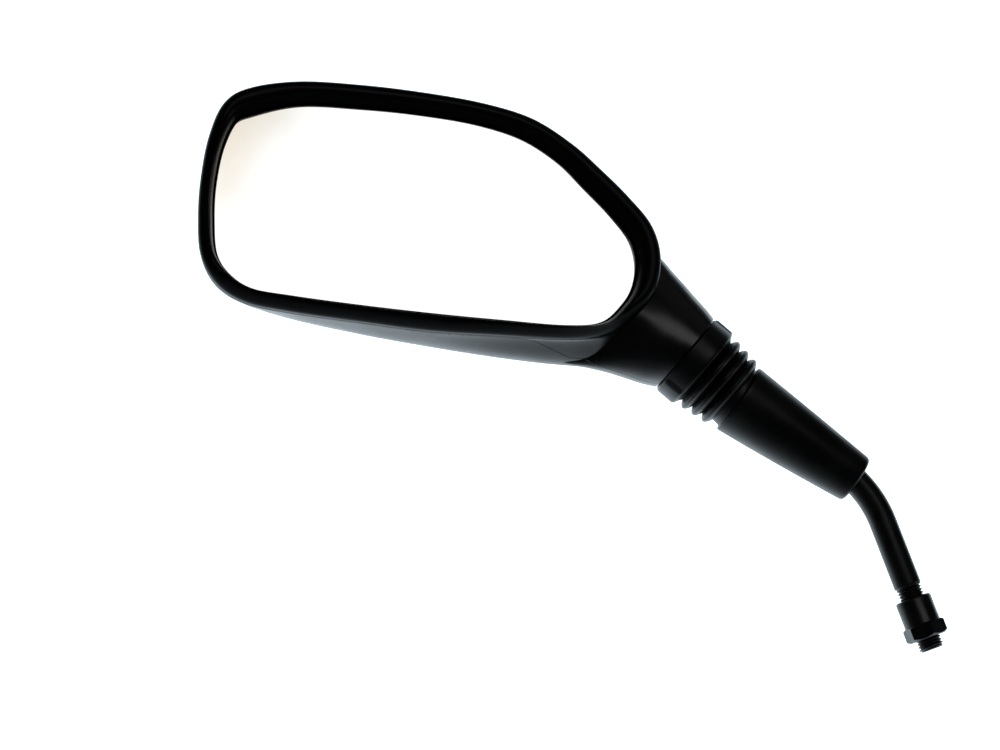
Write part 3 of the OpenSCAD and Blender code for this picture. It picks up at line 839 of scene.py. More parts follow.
@dataclass
class Head:
    """The rim with the front of the neck, the cover with its back, and the glass.

    Attributes:
        outline: the rim's outline.
        neck: the flared neck.
        wall: the mouldings' wall.
        gap: the clearance on each side of the parting.
        columns: points along each half oval of the neck.
        bevel_edge: the share of straight up in the inward direction where the rim's bevel starts and is full.
        lip_edge: how far in from the outline the lip's shift starts and is full.
        neck_limit: how far inside the outline the neck's front ends.
        shelf_inset: how far in from the outline the shelf starts.
        shelf_window: the shelf's open middle as shares of the outline's width and height.
        shelf_depths: the depths of the shelf's front and back.
        cover_inset: how far in from the outline the cover's edge stands.
        bowl_power: the power of the bowl's profile.
        bowl_span: the bowl's half width along which the profile is measured.
        bowl_end: the share of the way to the pole where the bowl's last ring lies.
        bowl_rings: how many rings the bowl has outside and inside.
        skirt_rings: how many rings the skirt has on each side.
        skirt_start: where the skirt starts along the profile, in front of the rim's back.
        skirt_end: where it ends at the least.
        swell_back: the part of the swell that is widest at two thirds of the depth.
        swell_middle: the part of the swell that is widest at half the depth.
        glass_inset: how far in from the outline the glass ends.
        glass_radius: the radius of the glass's sphere.
        glass_thickness: the glass's thickness.
        ground: how far the ground edge stands back from each face.
    """

    outline: HeadOutline = field(default_factory=HeadOutline)
    neck: NeckLoft = field(default_factory=NeckLoft)
    wall: float = 2.2
    gap: float = 0.12
    columns: int = 56
    bevel_edge: tuple[float, float] = (0.3, 0.9)
    lip_edge: tuple[float, float] = (3.0, 6.0)
    neck_limit: float = 3.0
    shelf_inset: float = 6.6
    shelf_window: tuple[float, float] = (0.8, 0.64)
    shelf_depths: tuple[float, float] = (-6.8, -5.0)
    cover_inset: float = 0.6
    bowl_power: float = 3.2
    bowl_span: float = 60.0
    bowl_end: float = 0.985
    bowl_rings: tuple[int, int] = (64, 44)
    skirt_rings: int = 14
    skirt_start: float = -0.6
    skirt_end: float = -0.3
    swell_back: float = 3.7
    swell_middle: float = 0.45
    glass_inset: float = 7.9
    glass_radius: float = 1300.0
    glass_thickness: float = 2.2
    ground: float = 0.35

    def rim(self) -> Sheet:
        """The rim: a rounded section carried round the outline, its lip moved in by the outline's reach.

        A point is station + into inward, at the section's depth. Where the rim runs along the bottom, the section
        turns into one with a long bevel below its front.

        Returns:
            The closed surface.
        """
        f = self.outline.front
        p = self.outline.part
        section = np.array([
            [1.0, p], [0.72, p - 0.25], [0.35, p - 2.2], [0.05, f + 5.0], [0.0, f + 3.6], [0.25, f + 2.3],
            [0.9, f + 1.25], [2.0, f + 0.42], [3.2, f], [4.5, f + 0.3], [5.45, f + 1.05], [6.0, f + 1.9],
            [6.15, f + 2.4], [6.3, f + 2.8], [6.7, f + 4.2], [7.1, f + 6.4], [7.55, f + 11.0], [7.6, f + 15.2],
            [5.6, f + 15.2], [5.4, f + 10.0], [5.3, f + 4.6], [4.3, f + 3.2], [3.1, f + 3.4], [2.7, f + 5.0],
            [2.85, p - 0.4], [2.7, p]])
        low = section.copy()
        low[:13] = [[1.0, p], [0.75, p - 0.25], [0.5, p - 2.2], [0.45, f + 5.6], [0.55, f + 5.0], [0.9, f + 4.2],
                    [1.55, f + 3.15], [2.3, f + 2.1], [3.1, f + 1.1], [3.9, f + 0.35], [4.8, f + 0.05],
                    [5.6, f + 0.7], [6.1, f + 2.1]]
        weight = smoothstep(self.outline.inward[:, 1], *self.bevel_edge)[:, None, None]
        each = section * (1.0 - weight) + low * weight
        into = each[..., 0] + smoothstep(each[..., 0], *self.lip_edge) * self.outline.reach[:, None]
        flat = self.outline.line[:, None] + into[..., None] * self.outline.inward[:, None]
        return Sheet(lift(flat, each[..., 1]), wrap_rows=True)

    def shelf(self) -> Sheet:
        """The shelf behind the glass: a flat ring between the rim and the outline shrunk toward its middle.

        Returns:
            The closed surface.
        """
        window = self.outline.middle + (self.outline.line - self.outline.middle) * np.array(self.shelf_window)
        outer = self.outline.inset(self.shelf_inset)
        front, back = self.shelf_depths
        corners = [(outer, front), (window, front), (window, back), (outer, back)]
        return Sheet(np.stack([lift(flat, y) for flat, y in corners], 1), wrap_rows=True)

    def trimmed(self, flat: Array, depth: Array, limit: float) -> tuple[Array, Array]:
        """Shortens each column of a neck grid to where it comes a limit inside the rim's outline.

        The kept stretch of each column is spread again over all the rows, straight between its points.

        Args:
            flat: the [x, z] places, rows x columns.
            depth: their depths.
            limit: how far inside the outline a column ends.

        Returns:
            The new places and depths.
        """
        inside = self.outline.signed(flat)
        rows = flat.shape[0]
        past = np.maximum.accumulate(inside > limit, axis=0)
        last = np.where(past.any(0), past.argmax(0), rows - 1)
        before = np.maximum(last - 1, 0)
        cols = np.arange(flat.shape[1])
        a, b = inside[before, cols], inside[last, cols]
        end = before + np.clip((limit - a) / np.where(np.abs(b - a) < 1e-9, 1.0, b - a), 0.0, 1.0)
        at = np.linspace(0.0, 1.0, rows)[:, None] * end[None]
        low = np.minimum(at.astype(int), rows - 2)
        t = at - low
        new_flat = flat[low, cols] * (1 - t)[..., None] + flat[low + 1, cols] * t[..., None]
        return new_flat, depth[low, cols] * (1 - t) + depth[low + 1, cols] * t

    def neck_front(self) -> Sheet:
        """The front half of the neck with its wall, up to the inside of the rim."""
        halves = (self.neck.half(True, take, self.gap, self.columns) for take in (0.0, self.wall))
        return shell(*(lift(*self.trimmed(*half, self.neck_limit)) for half in halves))

    def neck_back(self) -> Sheet:
        """The back half of the neck with its wall, up to the inside of the cover."""
        return shell(*(lift(*self.neck.half(False, take, self.gap, self.columns)) for take in (0.0, self.wall)))

    def profile(self, take: float) -> tuple[Array, Array, Array]:
        """The bowl's profile k^p + h^p = 1, walked with k = cos(t)^(2/p) and h = sin(t)^(2/p).

        Args:
            take: how far the bowl is taken in.

        Returns:
            Distances along the profile from the rim, and k and h there.
        """
        depth = self.outline.back - take - self.outline.part
        t = np.linspace(0.0, 0.5 * math.pi, 4000)
        k, h = np.cos(t) ** (2.0 / self.bowl_power), np.sin(t) ** (2.0 / self.bowl_power)
        steps = np.hypot(np.diff(k) * self.bowl_span, np.diff(h) * depth)
        return np.concatenate([[0.0], np.cumsum(steps)]), k, h

    def bowl(self, take: float, way: Array) -> tuple[Array, Array]:
        """The cover's bowl: the outline shrunk toward the pole to the share k, at the share h of the depth.

        Each ring also swells out by the station's belly times 3.7 h^2 (1 - h) + 0.45 sin(pi h), where the two
        numbers are the swell's back and middle parts.

        Args:
            take: how far the bowl is taken in.
            way: rows x stations, the distance along the profile from the rim; below zero it runs straight forward.

        Returns:
            The [x, z] places and the depths.
        """
        depth = self.outline.back - take - self.outline.part
        length, k, h = self.profile(take)
        share, back = np.interp(way, length, k), np.interp(way, length, h)
        pole = self.outline.pole
        flat = pole + share[..., None] * (self.outline.inset(self.cover_inset + take) - pole)
        swell = self.swell_back * back**2 * (1.0 - back) + self.swell_middle * np.sin(math.pi * back)
        swell = swell * self.outline.belly
        flat = flat - swell[..., None] * self.outline.inward
        return flat, self.outline.part + back * depth + np.minimum(way, 0.0)

    def parting(self, take: float, gap: float) -> Array:
        """How far along the profile each station's bowl crosses the parting, by a straight line between two steps.

        Args:
            take: how far the bowl is taken in.
            gap: how far behind the parting the crossing is looked for.

        Returns:
            One distance a station, less than zero where the bowl starts behind the parting.
        """
        steps, reach = 1200, 60.0
        way = np.broadcast_to(np.linspace(0.0, reach, steps + 1)[:, None], (steps + 1, len(self.outline.line)))
        flat, depth = self.bowl(take, way)
        behind = depth - self.neck.parting(flat) - gap
        last = np.maximum((behind > 0.0).argmax(0), 1)
        cols = np.arange(way.shape[1])
        a, b = behind[last - 1, cols], behind[last, cols]
        found = way[last - 1, cols] + reach / steps * np.clip(-a / (b - a), 0.0, 1.0)
        return np.where(behind[0] > 0.0, -behind[0], found)

    def dome_rings(self, take: float, start: Array, stop: Array | float, count: int) -> Array:
        """Rings of the bowl, evenly spread along the profile from each station's start to its stop."""
        share = np.linspace(0.0, 1.0, count)[:, None]
        return lift(*self.bowl(take, start * (1.0 - share) + stop * share))

    def dome(self) -> Sheet:
        """The cover's bowl with its wall, from the parting to the back.

        Returns:
            The closed surface: outer rings from the pole out, then inner rings back in.
        """
        halves = []
        for take, count in zip((0.0, self.wall), self.bowl_rings):
            length, k, _ = self.profile(take)
            start = np.maximum(self.parting(take, self.gap), self.gap)
            stop = float(np.interp(self.bowl_end, 1.0 - k, length))
            halves.append(self.dome_rings(take, start, stop, count))
        return Sheet(np.concatenate([halves[0][::-1], halves[1]], 0), cap_first=True, cap_last=True)

    def skirt(self) -> Sheet:
        """The part of the same bowl in front of the parting, which belongs to the rim's moulding.

        Returns:
            The closed surface.
        """
        start = np.full(len(self.outline.line), self.skirt_start)
        stops = (np.maximum(self.parting(take, -self.gap), self.skirt_end) for take in (0.0, self.wall))
        outer, inner = (self.dome_rings(take, start, stop, self.skirt_rings)
                        for take, stop in zip((0.0, self.wall), stops))
        return Sheet(np.concatenate([outer, inner[::-1]], 0), wrap_rows=True)

    def glass(self) -> Sheet:
        """The glass: a sphere's cap cut to the outline, with a ground edge.

        A ring lies at a share of the way from the middle to the edge, at the depth centre - sqrt(r^2 - far^2).

        Returns:
            The closed surface: rings out over the front, the edge, and rings in over the back.
        """
        middle = self.outline.middle
        edge = self.outline.inset(self.glass_inset + self.outline.reach) - middle
        shares = np.concatenate([np.linspace(0.02, 0.98, 24), [0.99, 0.9955, 1.0]])
        flat = middle + shares[:, None, None] * edge
        far = ((flat - middle) ** 2).sum(-1)
        centre = self.outline.glass + self.glass_radius
        radii = (self.glass_radius, self.glass_radius - self.glass_thickness)
        front, back = (centre - np.sqrt(r**2 - far) for r in radii)
        front[-1] += self.ground
        back[-1] -= self.ground
        return Sheet(np.concatenate([lift(flat, front), lift(flat, back)[::-1]], 0), cap_first=True, cap_last=True)

    def build(self, palette: Palette) -> None:
        """Makes the rim, the front of the neck, the cover and the glass, and puts them on the head.

        Args:
            palette: the materials.
        """
        pieces = (("rim", "front_frame", Look.RIM, [self.rim(), self.shelf()], 35.0),
                  ("skirt_and_neck_front", "front_frame", Look.HOUSING, [self.skirt(), self.neck_front()], 35.0),
                  ("cover_and_neck_back", "back_cover", Look.HOUSING, [self.dome(), self.neck_back()], 35.0),
                  ("convex_glass", "mirror_glass", Look.MIRROR, [self.glass()], 20.0))
        for name, node, look, sheets, sharp in pieces:
            piece = build_object(name, sheets, sharp)
            palette.dress(piece, look)
            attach(piece, "head")
            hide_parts(node)
            log.info("made %s", piece.name)


@dataclass
class Stem:
    """The bent rod with its thread, and the lock nut.

    Attributes:
        rod: the rod's radius.
        crest: the thread's radius at its crests.
        root: the thread's radius at its roots.
        pitch: the thread's pitch.
        turn_steps: stations a turn of the thread.
        flank: how steeply the thread's flanks rise, in thread depths a turn.
        root_flat: how deep under the root the flanks would meet, in thread depths.
        free: how far the thread reaches below the nut's seat.
        tip_cut: how much narrower than the root the chamfered tip is.
        threaded: how far it reaches above it.
        run_out: how far before and after that the thread fades into the rod.
        fine_past: how far past the thread its close stations go on.
        plain_steps: stations along the plain rod.
        ball_gap: from the rod's end to the ball's centre.
        step: how far before its end the rod narrows for the ball, and where it is narrow.
        step_depth: how much it narrows.
        flats: the nut's width across its flats.
        hex_height: the height of its hexagon.
        nut_height: its height with the collar.
        collar: the collar's radius.
        columns: points round the rod.
        nut_columns: points round the nut.
    """

    rod: float = 5.5
    crest: float = 5.0
    root: float = 4.3
    pitch: float = 1.25
    turn_steps: int = 12
    flank: float = 2.9
    root_flat: float = 0.15
    free: float = 4.8
    tip_cut: float = 0.2
    threaded: float = 22.0
    run_out: tuple[float, float] = (1.2, 0.6)
    fine_past: float = 1.3
    plain_steps: int = 90
    ball_gap: float = 9.0
    step: tuple[float, float] = (5.6, 5.0)
    step_depth: float = 0.6
    flats: float = 15.0
    hex_height: float = 6.0
    nut_height: float = 16.8
    collar: float = 7.3
    columns: int = 48
    nut_columns: int = 192

    def centre_line(self, way: Array) -> tuple[Array, Array]:
        """The rod's line: straight, round an arc of the bend's radius, and straight again.

        Args:
            way: distances along it from the nut's seat.

        Returns:
            The centre and the direction at each distance.
        """
        lay = LAYOUT
        low, high = math.radians(lay.lower_angle), math.radians(lay.upper_angle)
        straight = lay.stem_drop - lay.bend_radius * math.tan(0.5 * (low - high))
        arc = lay.bend_radius * (low - high)
        angle = low - (low - high) * np.clip((way - straight) / arc, 0.0, 1.0)
        first = np.minimum(way, straight)[:, None] * lay.along(lay.lower_angle)
        pivot = straight * lay.along(lay.lower_angle) - lay.bend_radius * np.array([math.sin(low), 0, math.cos(low)])
        bend = pivot + lay.bend_radius * np.stack([np.sin(angle), 0 * angle, np.cos(angle)], -1)
        rest = np.maximum(way - straight - arc, 0.0)[:, None] * lay.along(lay.upper_angle)
        centre = np.where((way < straight)[:, None], first, bend + rest)
        return centre, np.stack([-np.cos(angle), 0 * angle, np.sin(angle)], -1)

    @property
    def length(self) -> float:
        """The rod's length above the nut's seat: both straights, less what the arc cuts off, less the ball's gap."""
        lay = LAYOUT
        bend = math.radians(lay.lower_angle) - math.radians(lay.upper_angle)
        loss = 2 * lay.bend_radius * math.tan(0.5 * bend) - lay.bend_radius * bend
        return lay.arm_length + lay.stem_drop - loss - self.ball_gap

    def rod_sheet(self) -> Sheet:
        """The whole rod: a screw thread worked into its lower end, then the plain rod up to the ball.

        The thread's radius is the root plus a trapezoid of the phase, the height over the pitch less the turn.

        Returns:
            The closed surface.
        """
        end = self.length
        fine = np.arange(-self.free, self.threaded + self.fine_past, self.pitch / self.turn_steps)
        way = np.concatenate([fine, np.linspace(fine[-1] + 0.4, end, self.plain_steps)])
        turn = np.arange(self.columns) * TAU / self.columns
        phase = (way[:, None] / self.pitch - turn[None] / TAU) % 1.0
        ridge = np.clip((0.5 - np.abs(phase - 0.5)) * self.flank - self.root_flat, 0.0, 1.0)
        thread = self.root + (self.crest - self.root) * ridge
        out = smoothstep(way, self.threaded - self.run_out[0], self.threaded + self.run_out[1])[:, None]
        radius = thread * (1 - out) + self.rod * out
        chamfer = self.root - self.tip_cut + (way + self.free)
        narrow = np.interp(way, [end - self.step[0], end - self.step[1]], [self.rod, self.rod - self.step_depth])
        radius = np.minimum(radius, np.minimum(chamfer, narrow)[:, None])
        centre, direction = self.centre_line(way)
        return Sheet(rings(centre, direction, radius, self.columns), cap_first=True, cap_last=True)

    def nut_sheet(self) -> Sheet:
        """The lock nut: a hexagon cut round by cones, a round collar above it, and its bore.

        The hexagon's radius at a turn is the half flats over the cosine of the turn from the nearest flat's middle.

        Returns:
            The closed surface.
        """
        turn = np.arange(self.nut_columns) * TAU / self.nut_columns
        off = ((turn + TAU / 12) % (TAU / 6)) - TAU / 12
        half = 0.5 * self.flats
        hexagon = half / np.cos(off)
        up = np.concatenate([np.linspace(0.0, 1.1, 12), np.linspace(1.3, self.hex_height - 0.9, 8),
                             np.linspace(self.hex_height - 0.8, self.hex_height, 10)])
        cone = np.interp(up, [0.0, 1.1, self.hex_height - 0.8, self.hex_height],
                         [half - 0.3, half + 1.4, half + 1.4, half - 0.1])
        outer = np.minimum(hexagon[None], cone[:, None])
        plain = [(self.hex_height + 0.02, self.collar + 0.05), (self.hex_height + 0.15, self.collar),
                 (self.nut_height - 0.8, self.collar), (self.nut_height - 0.35, self.collar - 0.2),
                 (self.nut_height - 0.05, self.collar - 0.5), (self.nut_height, self.collar - 0.7),
                 (self.nut_height, self.rod + 0.35), (self.nut_height - 0.3, self.rod + 0.3),
                 (8.0, self.rod + 0.3), (7.9, self.crest + 0.05), (0.35, self.crest + 0.05), (0.0, self.crest + 0.4)]
        way = np.concatenate([up, [t for t, _ in plain]])
        radius = np.vstack([outer, np.repeat(np.array([[r] for _, r in plain]), self.nut_columns, axis=1)])
        axis = LAYOUT.along(LAYOUT.lower_angle)
        along = np.repeat(axis[None], len(way), 0)
        return Sheet(rings(way[:, None] * axis, along, radius, self.nut_columns), wrap_rows=True)

    def build(self, palette: Palette) -> None:
        """Makes the rod and the nut.

        Args:
            palette: the materials.
        """
        rod = build_object("threaded_stem", [self.rod_sheet()], sharp=60.0)
        nut = build_object("hex_lock_nut", [self.nut_sheet()], sharp=25.0)
        for piece, node, body in ((rod, "stem", "stem"), (nut, "lock_nut", "lock_nut")):
            palette.dress(piece, Look.BLACK_STEEL)
            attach(piece, body)
            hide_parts(node)
            log.info("made %s", piece.name)


@dataclass
class Boot:
    """The rubber boot in two pieces that meet in a valley of its folds.

    Attributes:
        start: from the neck's end out to the first valley.
        pitch: from valley to valley.
        depth: how far a fold stands out of its valleys.
        valleys: the valleys' radii.
        meet: the number of the valley where the pieces meet.
        wall: the folds' and the sleeve's wall.
        pad_angle: half the angle that a grip pad takes up, in degrees.
        sleeve_gap: from the last valley to the sleeve.
        shoulder: how much wider the sleeve starts than the last valley.
        bulge: four times how far the sleeve's side stands out of a straight line at its middle.
        sag: how far the sleeve's middle hangs down.
        past_knee: from where the stem's straight lines meet up to the sleeve's end.
        end_radius: the radius of the sleeve's end.
        grip: how far up from its end the sleeve holds the rod.
        columns: points round the boot.
    """

    start: float = 11.6
    pitch: float = 4.8
    depth: float = 2.8
    valleys: tuple[float, ...] = (15.0, 14.4, 13.8, 13.2)
    meet: int = 2
    wall: float = 1.0
    pad_angle: float = 25.5
    sleeve_gap: float = 2.2
    shoulder: float = 1.9
    bulge: float = 0.8
    sag: float = 0.1
    past_knee: float = 7.6
    end_radius: float = 10.1
    grip: float = 22.0
    columns: int = 96

    @property
    def folds_end(self) -> float:
        """The distance from the neck's end to the last valley."""
        return self.start + (len(self.valleys) - 1) * self.pitch

    def fold_line(self, first: int, last: int) -> Array:
        """Some folds' profile: a straight line from valley to valley plus depth sin(pi t)^0.8 for each.

        Args:
            first: the number of the first valley.
            last: the number of the last valley.

        Returns:
            Rows of [radius, distance from the neck's end].
        """
        rows = []
        for k in range(first, last):
            t = np.linspace(0.0, 1.0, 17)[:-1]
            radius = self.valleys[k] * (1 - t) + self.valleys[k + 1] * t
            radius = radius + self.depth * np.sin(0.5 * TAU * t) ** 0.8
            rows.append(np.stack([radius, self.start + self.pitch * (k + t)], -1))
        rows.append(np.array([[self.valleys[last], self.start + self.pitch * last]]))
        return np.vstack(rows)

    def straight(self, profile: Array, pads: Array | None = None) -> Array:
        """A profile turned round the neck's axis.

        Args:
            profile: rows of [radius, distance from the neck's end].
            pads: what is added to the radius, rows x columns.

        Returns:
            The grid, rows x columns x 3.
        """
        out = -LAYOUT.neck_in
        centres = LAYOUT.neck_end + profile[:, 1:2] * out
        radius = np.repeat(profile[:, 0:1], self.columns, axis=1)
        if pads is not None:
            radius = radius + pads
        return rings(centres, np.repeat(out[None], len(profile), 0), radius, self.columns)

    def inner_folds(self, folds: Array) -> Array:
        """A folds' profile taken in by the wall and run backwards."""
        return folds[::-1] - np.array([self.wall, 0.0])

    def collar(self) -> Array:
        """The collar over the neck's end with its two raised pads, above and below.

        Returns:
            The outer grid, rows x columns x 3.
        """
        r = LAYOUT.neck_radius
        profile = np.array([
            [r - 3.0, 0.3], [r - 0.9, 0.3], [r - 0.5, 0.42], [r - 0.22, 0.75], [r - 0.1, 1.2], [r - 0.1, 1.6],
            [r - 0.1, 2.0], [r - 0.1, 2.5], [r - 0.1, 4.0], [r - 0.1, 6.0], [r - 0.1, 8.0], [r - 0.1, 8.8],
            [r - 0.15, 9.3], [r - 0.35, 9.75], [r - 0.75, 10.1], [r - 1.4, 10.4], [r - 2.2, 10.9]])
        turn = (np.arange(self.columns) * TAU / self.columns + 0.25 * TAU) % math.pi - 0.25 * TAU
        side = smoothstep(math.radians(self.pad_angle) - np.abs(turn), 0.0, math.radians(3.0))
        rise = np.interp(profile[:, 1], [0.9, 1.25, 1.9, 8.9, 9.5, 9.9], [0.0, 0.5, 0.72, 0.72, 0.5, 0.0])
        return self.straight(profile, rise[:, None] * side[None])

    def upper(self) -> Sheet:
        """The collar and the folds above the meeting valley, with the wall's inner face.

        Returns:
            The closed surface.
        """
        folds = self.fold_line(0, self.meet)
        outer = np.concatenate([self.collar(), self.straight(folds)], 0)
        lip = np.array([[13.8, 9.4], [13.8, -2.8], [LAYOUT.neck_radius - 2.8, -2.8]])
        inner = self.straight(np.vstack([self.inner_folds(folds), lip]))
        return Sheet(np.concatenate([outer, inner], 0), wrap_rows=True)

    def sleeve_path(self, share: Array) -> tuple[Array, Array]:
        """The sleeve's line: straight from end to end plus 4 sag s (1 - s) downwards.

        Args:
            share: shares s of its length, the upper end first.

        Returns:
            The centre and the direction at each share.
        """
        first = LAYOUT.neck_end - (self.folds_end + self.sleeve_gap) * LAYOUT.neck_in
        last = LAYOUT.ball - (LAYOUT.arm_length - self.past_knee) * LAYOUT.along(LAYOUT.upper_angle)
        way = last - first
        down = unit(np.array([-abs(way[2]), 0.0, -abs(way[0])]))
        centre = first + share[:, None] * way + (4 * self.sag * share * (1 - share))[:, None] * down
        direction = way + (4 * self.sag * (1 - 2 * share))[:, None] * down
        return centre, unit(direction)

    def sleeve_radius(self, share: Array) -> Array:
        """The sleeve's radius at shares s of its length: straight from end to end plus bulge s (1 - s)."""
        first = self.valleys[-1] + self.shoulder
        return first + (self.end_radius - first) * share + self.bulge * share * (1 - share)

    def lower(self) -> Sheet:
        """The last fold and the sleeve down to its chamfered end, with the bore round the rod.

        Returns:
            The closed surface.
        """
        last = len(self.valleys) - 1
        valley = self.valleys[last]
        folds = self.fold_line(self.meet, last)
        top = self.straight(np.vstack([folds, [[valley, self.folds_end + 0.9]]]))
        upper_end, lower_end = self.sleeve_path(np.array([0.0, 1.0]))[0]
        length = float(np.linalg.norm(upper_end - lower_end))
        share = np.concatenate([[-0.004, 0.0, 0.003, 0.008, 0.016, 0.03], np.linspace(0.06, 1.0 - 1.3 / length, 30),
                                [1.0 - 0.9 / length, 1.0 - 0.3 / length, 1.0]])
        drop = np.interp(share * length, [-0.25, 0.0, 0.2, 0.5, 1.0, 2.0], [1.7, 0.9, 0.35, 0.12, 0.02, 0.0])
        end = np.interp((share - 1.0) * length, [-1.3, -0.9, -0.3, 0.0], [0.0, 0.05, 0.35, 0.8])
        outer = rings(*self.sleeve_path(share), self.sleeve_radius(share) - drop - end, self.columns)
        back = np.array([1.0, 1.0 - 3.0 / length, 1.0 - self.grip / length, 0.5, 0.3, 0.06])
        bore = np.array([8.0, 7.0, 5.8, 9.0, float(self.sleeve_radius(back)[4]) - self.wall, 12.6])
        inner = rings(*self.sleeve_path(back), bore, self.columns)
        closing = self.straight(np.vstack([[[valley - self.wall, self.folds_end + 2.0]], self.inner_folds(folds)]))
        return Sheet(np.concatenate([top, outer, inner, closing], 0), wrap_rows=True)

    def at(self, distance: float) -> Triple:
        """A point of the neck's axis at a distance out from the neck's end, in metres."""
        return tuple(float(c) for c in (LAYOUT.neck_end - distance * LAYOUT.neck_in) * METRES)

    def build(self, palette: Palette) -> None:
        """Makes the two pieces.

        Args:
            palette: the materials.
        """
        meeting = self.start + self.meet * self.pitch
        upper = build_object("boot_collar_and_folds", [self.upper()], sharp=50.0)
        lower = build_object("boot_sleeve", [self.lower()], sharp=50.0)
        self.at(meeting - 0.3)
        self.at(self.start - 1.0)
        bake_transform(upper)
        self.at(self.folds_end + 8.0)
        self.at(meeting + 0.3)
        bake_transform(lower)
        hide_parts("boot")
        for piece in (upper, lower):
            palette.dress(piece, Look.RUBBER)
            log.info("made %s", piece.name)


@dataclass
class InnerWorks:
    """The ball, its seats, plates and fasteners: the part's own solids with their finishes.

    Attributes:
        looks: each solid's name and its look.
    """

    looks: tuple[tuple[str, Look], ...] = (
        ("ball", Look.BARE_STEEL), ("seat_front", Look.NYLON), ("seat_back", Look.NYLON),
        ("clamp_front", Look.BARE_STEEL), ("clamp_back", Look.BARE_STEEL), ("clamp_screws", Look.BARE_STEEL),
        ("clamp_washers", Look.BARE_STEEL), ("clamp_inserts", Look.BRASS), ("glass_pad", Look.FOAM),
        ("housing_screws", Look.BARE_STEEL))

    def build(self, palette: Palette, nodes: dict[str, bpy.types.Object]) -> None:
        """Dresses each solid.

        Args:
            palette: the materials.
            nodes: the frame's solids by name.
        """
        for name, look in self.looks:
            palette.dress(nodes[name], look)
            log.info("dressed %s", name)


@dataclass(frozen=True)
class Paper:
    """The stage's matt paper, which glows behind the object and is dark in front of it, where its dark colour is
    painted shade.

    Attributes:
        roughness: the paper's roughness.
        tint: the glow's colour.
        glow: its full strength.
        glow_edge: the depths between which it rises, in metres.
        slant: how much a metre to the right counts as depth for it.
        fade: the share of the glow that is left far back.
        fade_edge: the depths between which it falls to that share.
        painted_shade_grey: the paper's colour in front and behind; the dark value in front is painted shade,
            standing in for a shaded floor.
        painted_shade_edge: the depths between which that colour changes.
        shown: how bright a camera sees the paper, the same from every side.
    """

    roughness: float = 0.9
    tint: Triple = (0.8, 0.92, 1.0)
    glow: float = 1.85
    glow_edge: tuple[float, float] = (-0.2, 0.7)
    slant: float = 0.35
    fade: float = 0.7
    fade_edge: tuple[float, float] = (0.8, 1.5)
    painted_shade_grey: tuple[float, float] = (0.06, 0.8)
    painted_shade_edge: tuple[float, float] = (-0.5, 0.3)
    shown: float = 1.3

    def material(self) -> bpy.types.Material:
        """Builds the node material: the glow rises with slant X + Y and fades with Y, and with Y the colour goes
        from dark in front, as painted shade, to pale behind.

        Returns:
            The material.
        """
        mat = bpy.data.materials.new("pale_paper")
        mat.use_nodes = True
        nodes = mat.node_tree.nodes
        wires = Wiring(mat.node_tree)
        split = nodes.new("ShaderNodeSeparateXYZ")
        wires.feed(split.inputs["Vector"], wires.place())
        x, y = split.outputs["X"], split.outputs["Y"]
        slanted = wires.number("MULTIPLY_ADD", x, self.slant, y)
        glow = wires.ramp(slanted, self.glow_edge, (0.0, self.glow), smooth=True)
        fade = wires.ramp(y, self.fade_edge, (1.0, self.fade), smooth=True)
        shader = nodes["Principled BSDF"]
        shader.inputs["Roughness"].default_value = self.roughness
        shader.inputs["Specular IOR Level"].default_value = 0.0
        shader.inputs["Emission Color"].default_value = (*self.tint, 1.0)
        # Painted shade: the base colour is dark in front of the object, standing in for a floor in shadow, and pale
        # behind.
        wires.feed(shader.inputs["Base Color"], wires.ramp(y, self.painted_shade_edge, self.painted_shade_grey, smooth=True))
        wires.feed(shader.inputs["Emission Strength"], wires.seen(wires.number("MULTIPLY", glow, fade), self.shown))
        return mat


@dataclass(frozen=True)
class Lamp:
    """A rectangular soft light.

    Attributes:
        name: its name.
        place: where it hangs, in metres.
        target: what it is turned to, in metres.
        size: its width and height, in metres.
        power: its power, in watts.
    """

    name: str
    place: Triple
    target: Triple
    size: tuple[float, float]
    power: float

    def hang(self) -> None:
        """Puts the light in the scene, its back turned away from the target."""
        data = bpy.data.lights.new(self.name, "AREA")
        data.shape = "RECTANGLE"
        data.size, data.size_y = self.size
        data.energy = self.power
        lamp = bpy.data.objects.new(self.name, data)
        lamp.location = self.place
        lamp.rotation_euler = (Vector(self.place) - Vector(self.target)).to_track_quat("Z", "Y").to_euler()
        bpy.context.scene.collection.objects.link(lamp)


